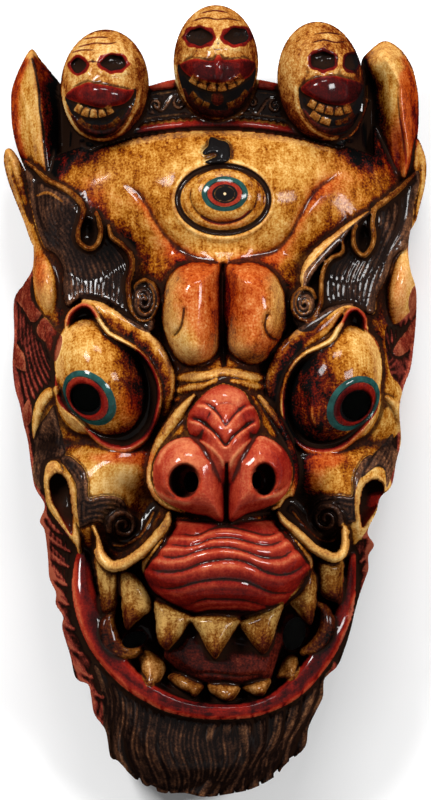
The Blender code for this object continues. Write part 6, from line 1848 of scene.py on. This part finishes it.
def painted_wood():
    """Gold, crimson and black paint, hand laid over carved wood, stained, worn and varnished, with painted
    shade and highlight in its colour.
    """
    n = Nodes("painted_wood")
    n.fine, n.middle, n.broad = n.field("fine"), n.field("middle"), n.field("broad")
    n.steep, n.shade_and_stain = n.field("steep"), n.field("shade_and_stain")
    n.mottle = n.noise(7.0, 5.0, 0.62)
    n.cloud = n.noise(34.0, 3.0, 0.5)
    n.grit = n.noise(1.3, 3.0, 0.65)
    n.streak = n.noise(3.0, 3.0, 0.6, stretch=(1, 0.16, 0.4), turn=12)

    light, calm = wood_light(n)
    flush = n.ramp(n.sum(n.field("flush"), (n.mottle, 0.35)), 0.15, 1.25)
    coat = n.sum(n.ramp(n.cloud, -1.6, 1.0, 0.12, 0.34), (flush, 0.25))
    base, coat = lacquers(n, gilding(n, light, flush), coat, light, calm)

    # dark glaze and painted shade in every groove, and the glaze's fine specks
    groove = n.ramp(n.sum(n.fine, (n.middle, 0.22)), -0.25, -1.1)
    base = n.mix(n.math("MULTIPLY", groove, 0.78), base, GLAZE_AND_SHADE)
    specks = n.ramp(n.sum(n.grit, (n.mottle, 0.25)), 0.95, 1.5)
    base = n.mix(n.math("MULTIPLY", specks, 0.45), base, SPECK)

    # bare wood of the hollow and rim
    grain = n.noise(1.8, 4.0, 0.6, stretch=(1, 0.07, 1))
    bare = n.ramp(n.sum(n.field("paint_bare"), (n.mottle, 0.5)), -0.6, 0.6)
    base = n.mix(bare, base, n.colours(n.sum(0.5, (n.cloud, 0.12), (grain, 0.22)), WOOD))
    n.link(base, n.shader.inputs["Base Color"])

    # varnish: gone from the bare wood and from steep walls
    gloss = n.sum(0.52, (n.cloud, 0.05), (n.mottle, 0.07), (groove, 0.18), (bare, 0.3))
    n.link(gloss, n.shader.inputs["Roughness"])
    coat = n.math("MULTIPLY", n.math("SUBTRACT", 1.0, bare), coat)
    coat = n.math("MULTIPLY", coat, n.ramp(n.steep, 0.0, 0.5, 1.0, 0.0))
    n.link(coat, n.shader.inputs["Coat Weight"])
    n.shader.inputs["Coat Roughness"].default_value = 0.10
    n.shader.inputs["Coat IOR"].default_value = 1.45
    n.shader.inputs["Specular IOR Level"].default_value = 0.0
    tool_marks(n, bare)
    return n.material


# ------------------------------------------------------------------ scene
def thin_out(body, mask):
    """Bring the mesh down to its number of triangles, sparing the edges of the painted areas."""
    mesh = body.data
    thin = body.modifiers.new("thin", "DECIMATE")
    thin.ratio = min(1.0, TRIANGLES / (2 * len(mesh.polygons)))
    body.vertex_groups.new(name="paint_edges").add(mask.paint_edges.tolist(), 1.0, "REPLACE")
    thin.vertex_group = "paint_edges"
    thin.invert_vertex_group = True
    thin.vertex_group_factor = 1.0
    graph = bpy.context.evaluated_depsgraph_get()
    slim = bpy.data.meshes.new_from_object(body.evaluated_get(graph))
    body.modifiers.clear()
    body.vertex_groups.clear()
    body.data = slim
    bpy.data.meshes.remove(mesh)
    slim.name = "mask_carving"
    return slim


def build_mask():
    """The carving as one object that takes the place of the solid mask."""
    mask = carve()
    body = bpy.data.objects.new("mask_carving", make_mesh(mask))
    bpy.context.scene.collection.objects.link(body)
    mesh = thin_out(body, mask)
    write_fields(mask, mesh)
    mesh.shade_smooth()
    mesh.materials.clear()
    mesh.materials.append(painted_wood())
    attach(body, "root")
    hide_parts("mask")
    return mask


def lay_floor():
    """Pale floor just under the rim."""
    r = FLOOR_REACH
    mesh = bpy.data.meshes.new("floor")
    mesh.from_pydata([(-r, -r, 0), (r, -r, 0), (r, r, 0), (-r, r, 0)], [], [(0, 1, 2, 3)])
    paint = bpy.data.materials.new("floor_white")
    paint.use_nodes = True
    shader = paint.node_tree.nodes["Principled BSDF"]
    shader.inputs["Base Color"].default_value = (0.95, 0.95, 0.95, 1)
    shader.inputs["Roughness"].default_value = 0.9
    mesh.materials.append(paint)
    floor = bpy.data.objects.new("floor", mesh)
    floor.location.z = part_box("mask")[0][2] - FLOOR_GAP
    bpy.context.scene.collection.objects.link(floor)


def light_studio():
    """Even studio light: a pale surround and softboxes at the left, the right and the top."""
    world = bpy.data.worlds.new("studio")
    world.use_nodes = True
    background = world.node_tree.nodes["Background"]
    background.inputs["Color"].default_value = (1, 1, 1, 1)
    background.inputs["Strength"].default_value = AMBIENT
    bpy.context.scene.world = world
    bpy.context.scene.view_settings.view_transform = "Standard"
    for name, place, aim, size, power in SOFTBOXES:
        lamp = bpy.data.lights.new(name, "AREA")
        lamp.shape = "RECTANGLE"
        lamp.size, lamp.size_y = size
        lamp.energy = power
        body = bpy.data.objects.new(name, lamp)
        bpy.context.scene.collection.objects.link(body)
        body.location = place
        body.rotation_euler = (Vector(aim) - Vector(place)).to_track_quat("-Z", "Y").to_euler()


def set_camera(mask):
    """Camera on the line along which all forms of the face narrow as they rise."""
    lens = bpy.data.cameras.new("camera")
    body = bpy.data.objects.new("camera", lens)
    bpy.context.scene.collection.objects.link(body)
    height = 1 / DRAFT * MM
    centre = Vector((-mask.centre[0] * MM, -mask.centre[1] * MM, 0))
    aim = centre + Vector((FRAME_CENTRE[0] * MM, FRAME_CENTRE[1] * MM, 0))
    body.location = centre + Vector((-LEAN * height, FRAME_CENTRE[1] * MM, height))
    sight = body.location - aim
    body.rotation_euler = (0, math.atan2(sight.x, sight.z), 0)
    lens.sensor_fit = "VERTICAL"
    lens.sensor_height = SENSOR
    lens.sensor_width = SENSOR * FRAME_SHAPE
    lens.lens = SENSOR * sight.length / (FRAME_HEIGHT * MM)
    bpy.context.scene.camera = body


def main():
    """Dress the scene."""
    mask = build_mask()
    lay_floor()
    light_studio()
    set_camera(mask)


main()
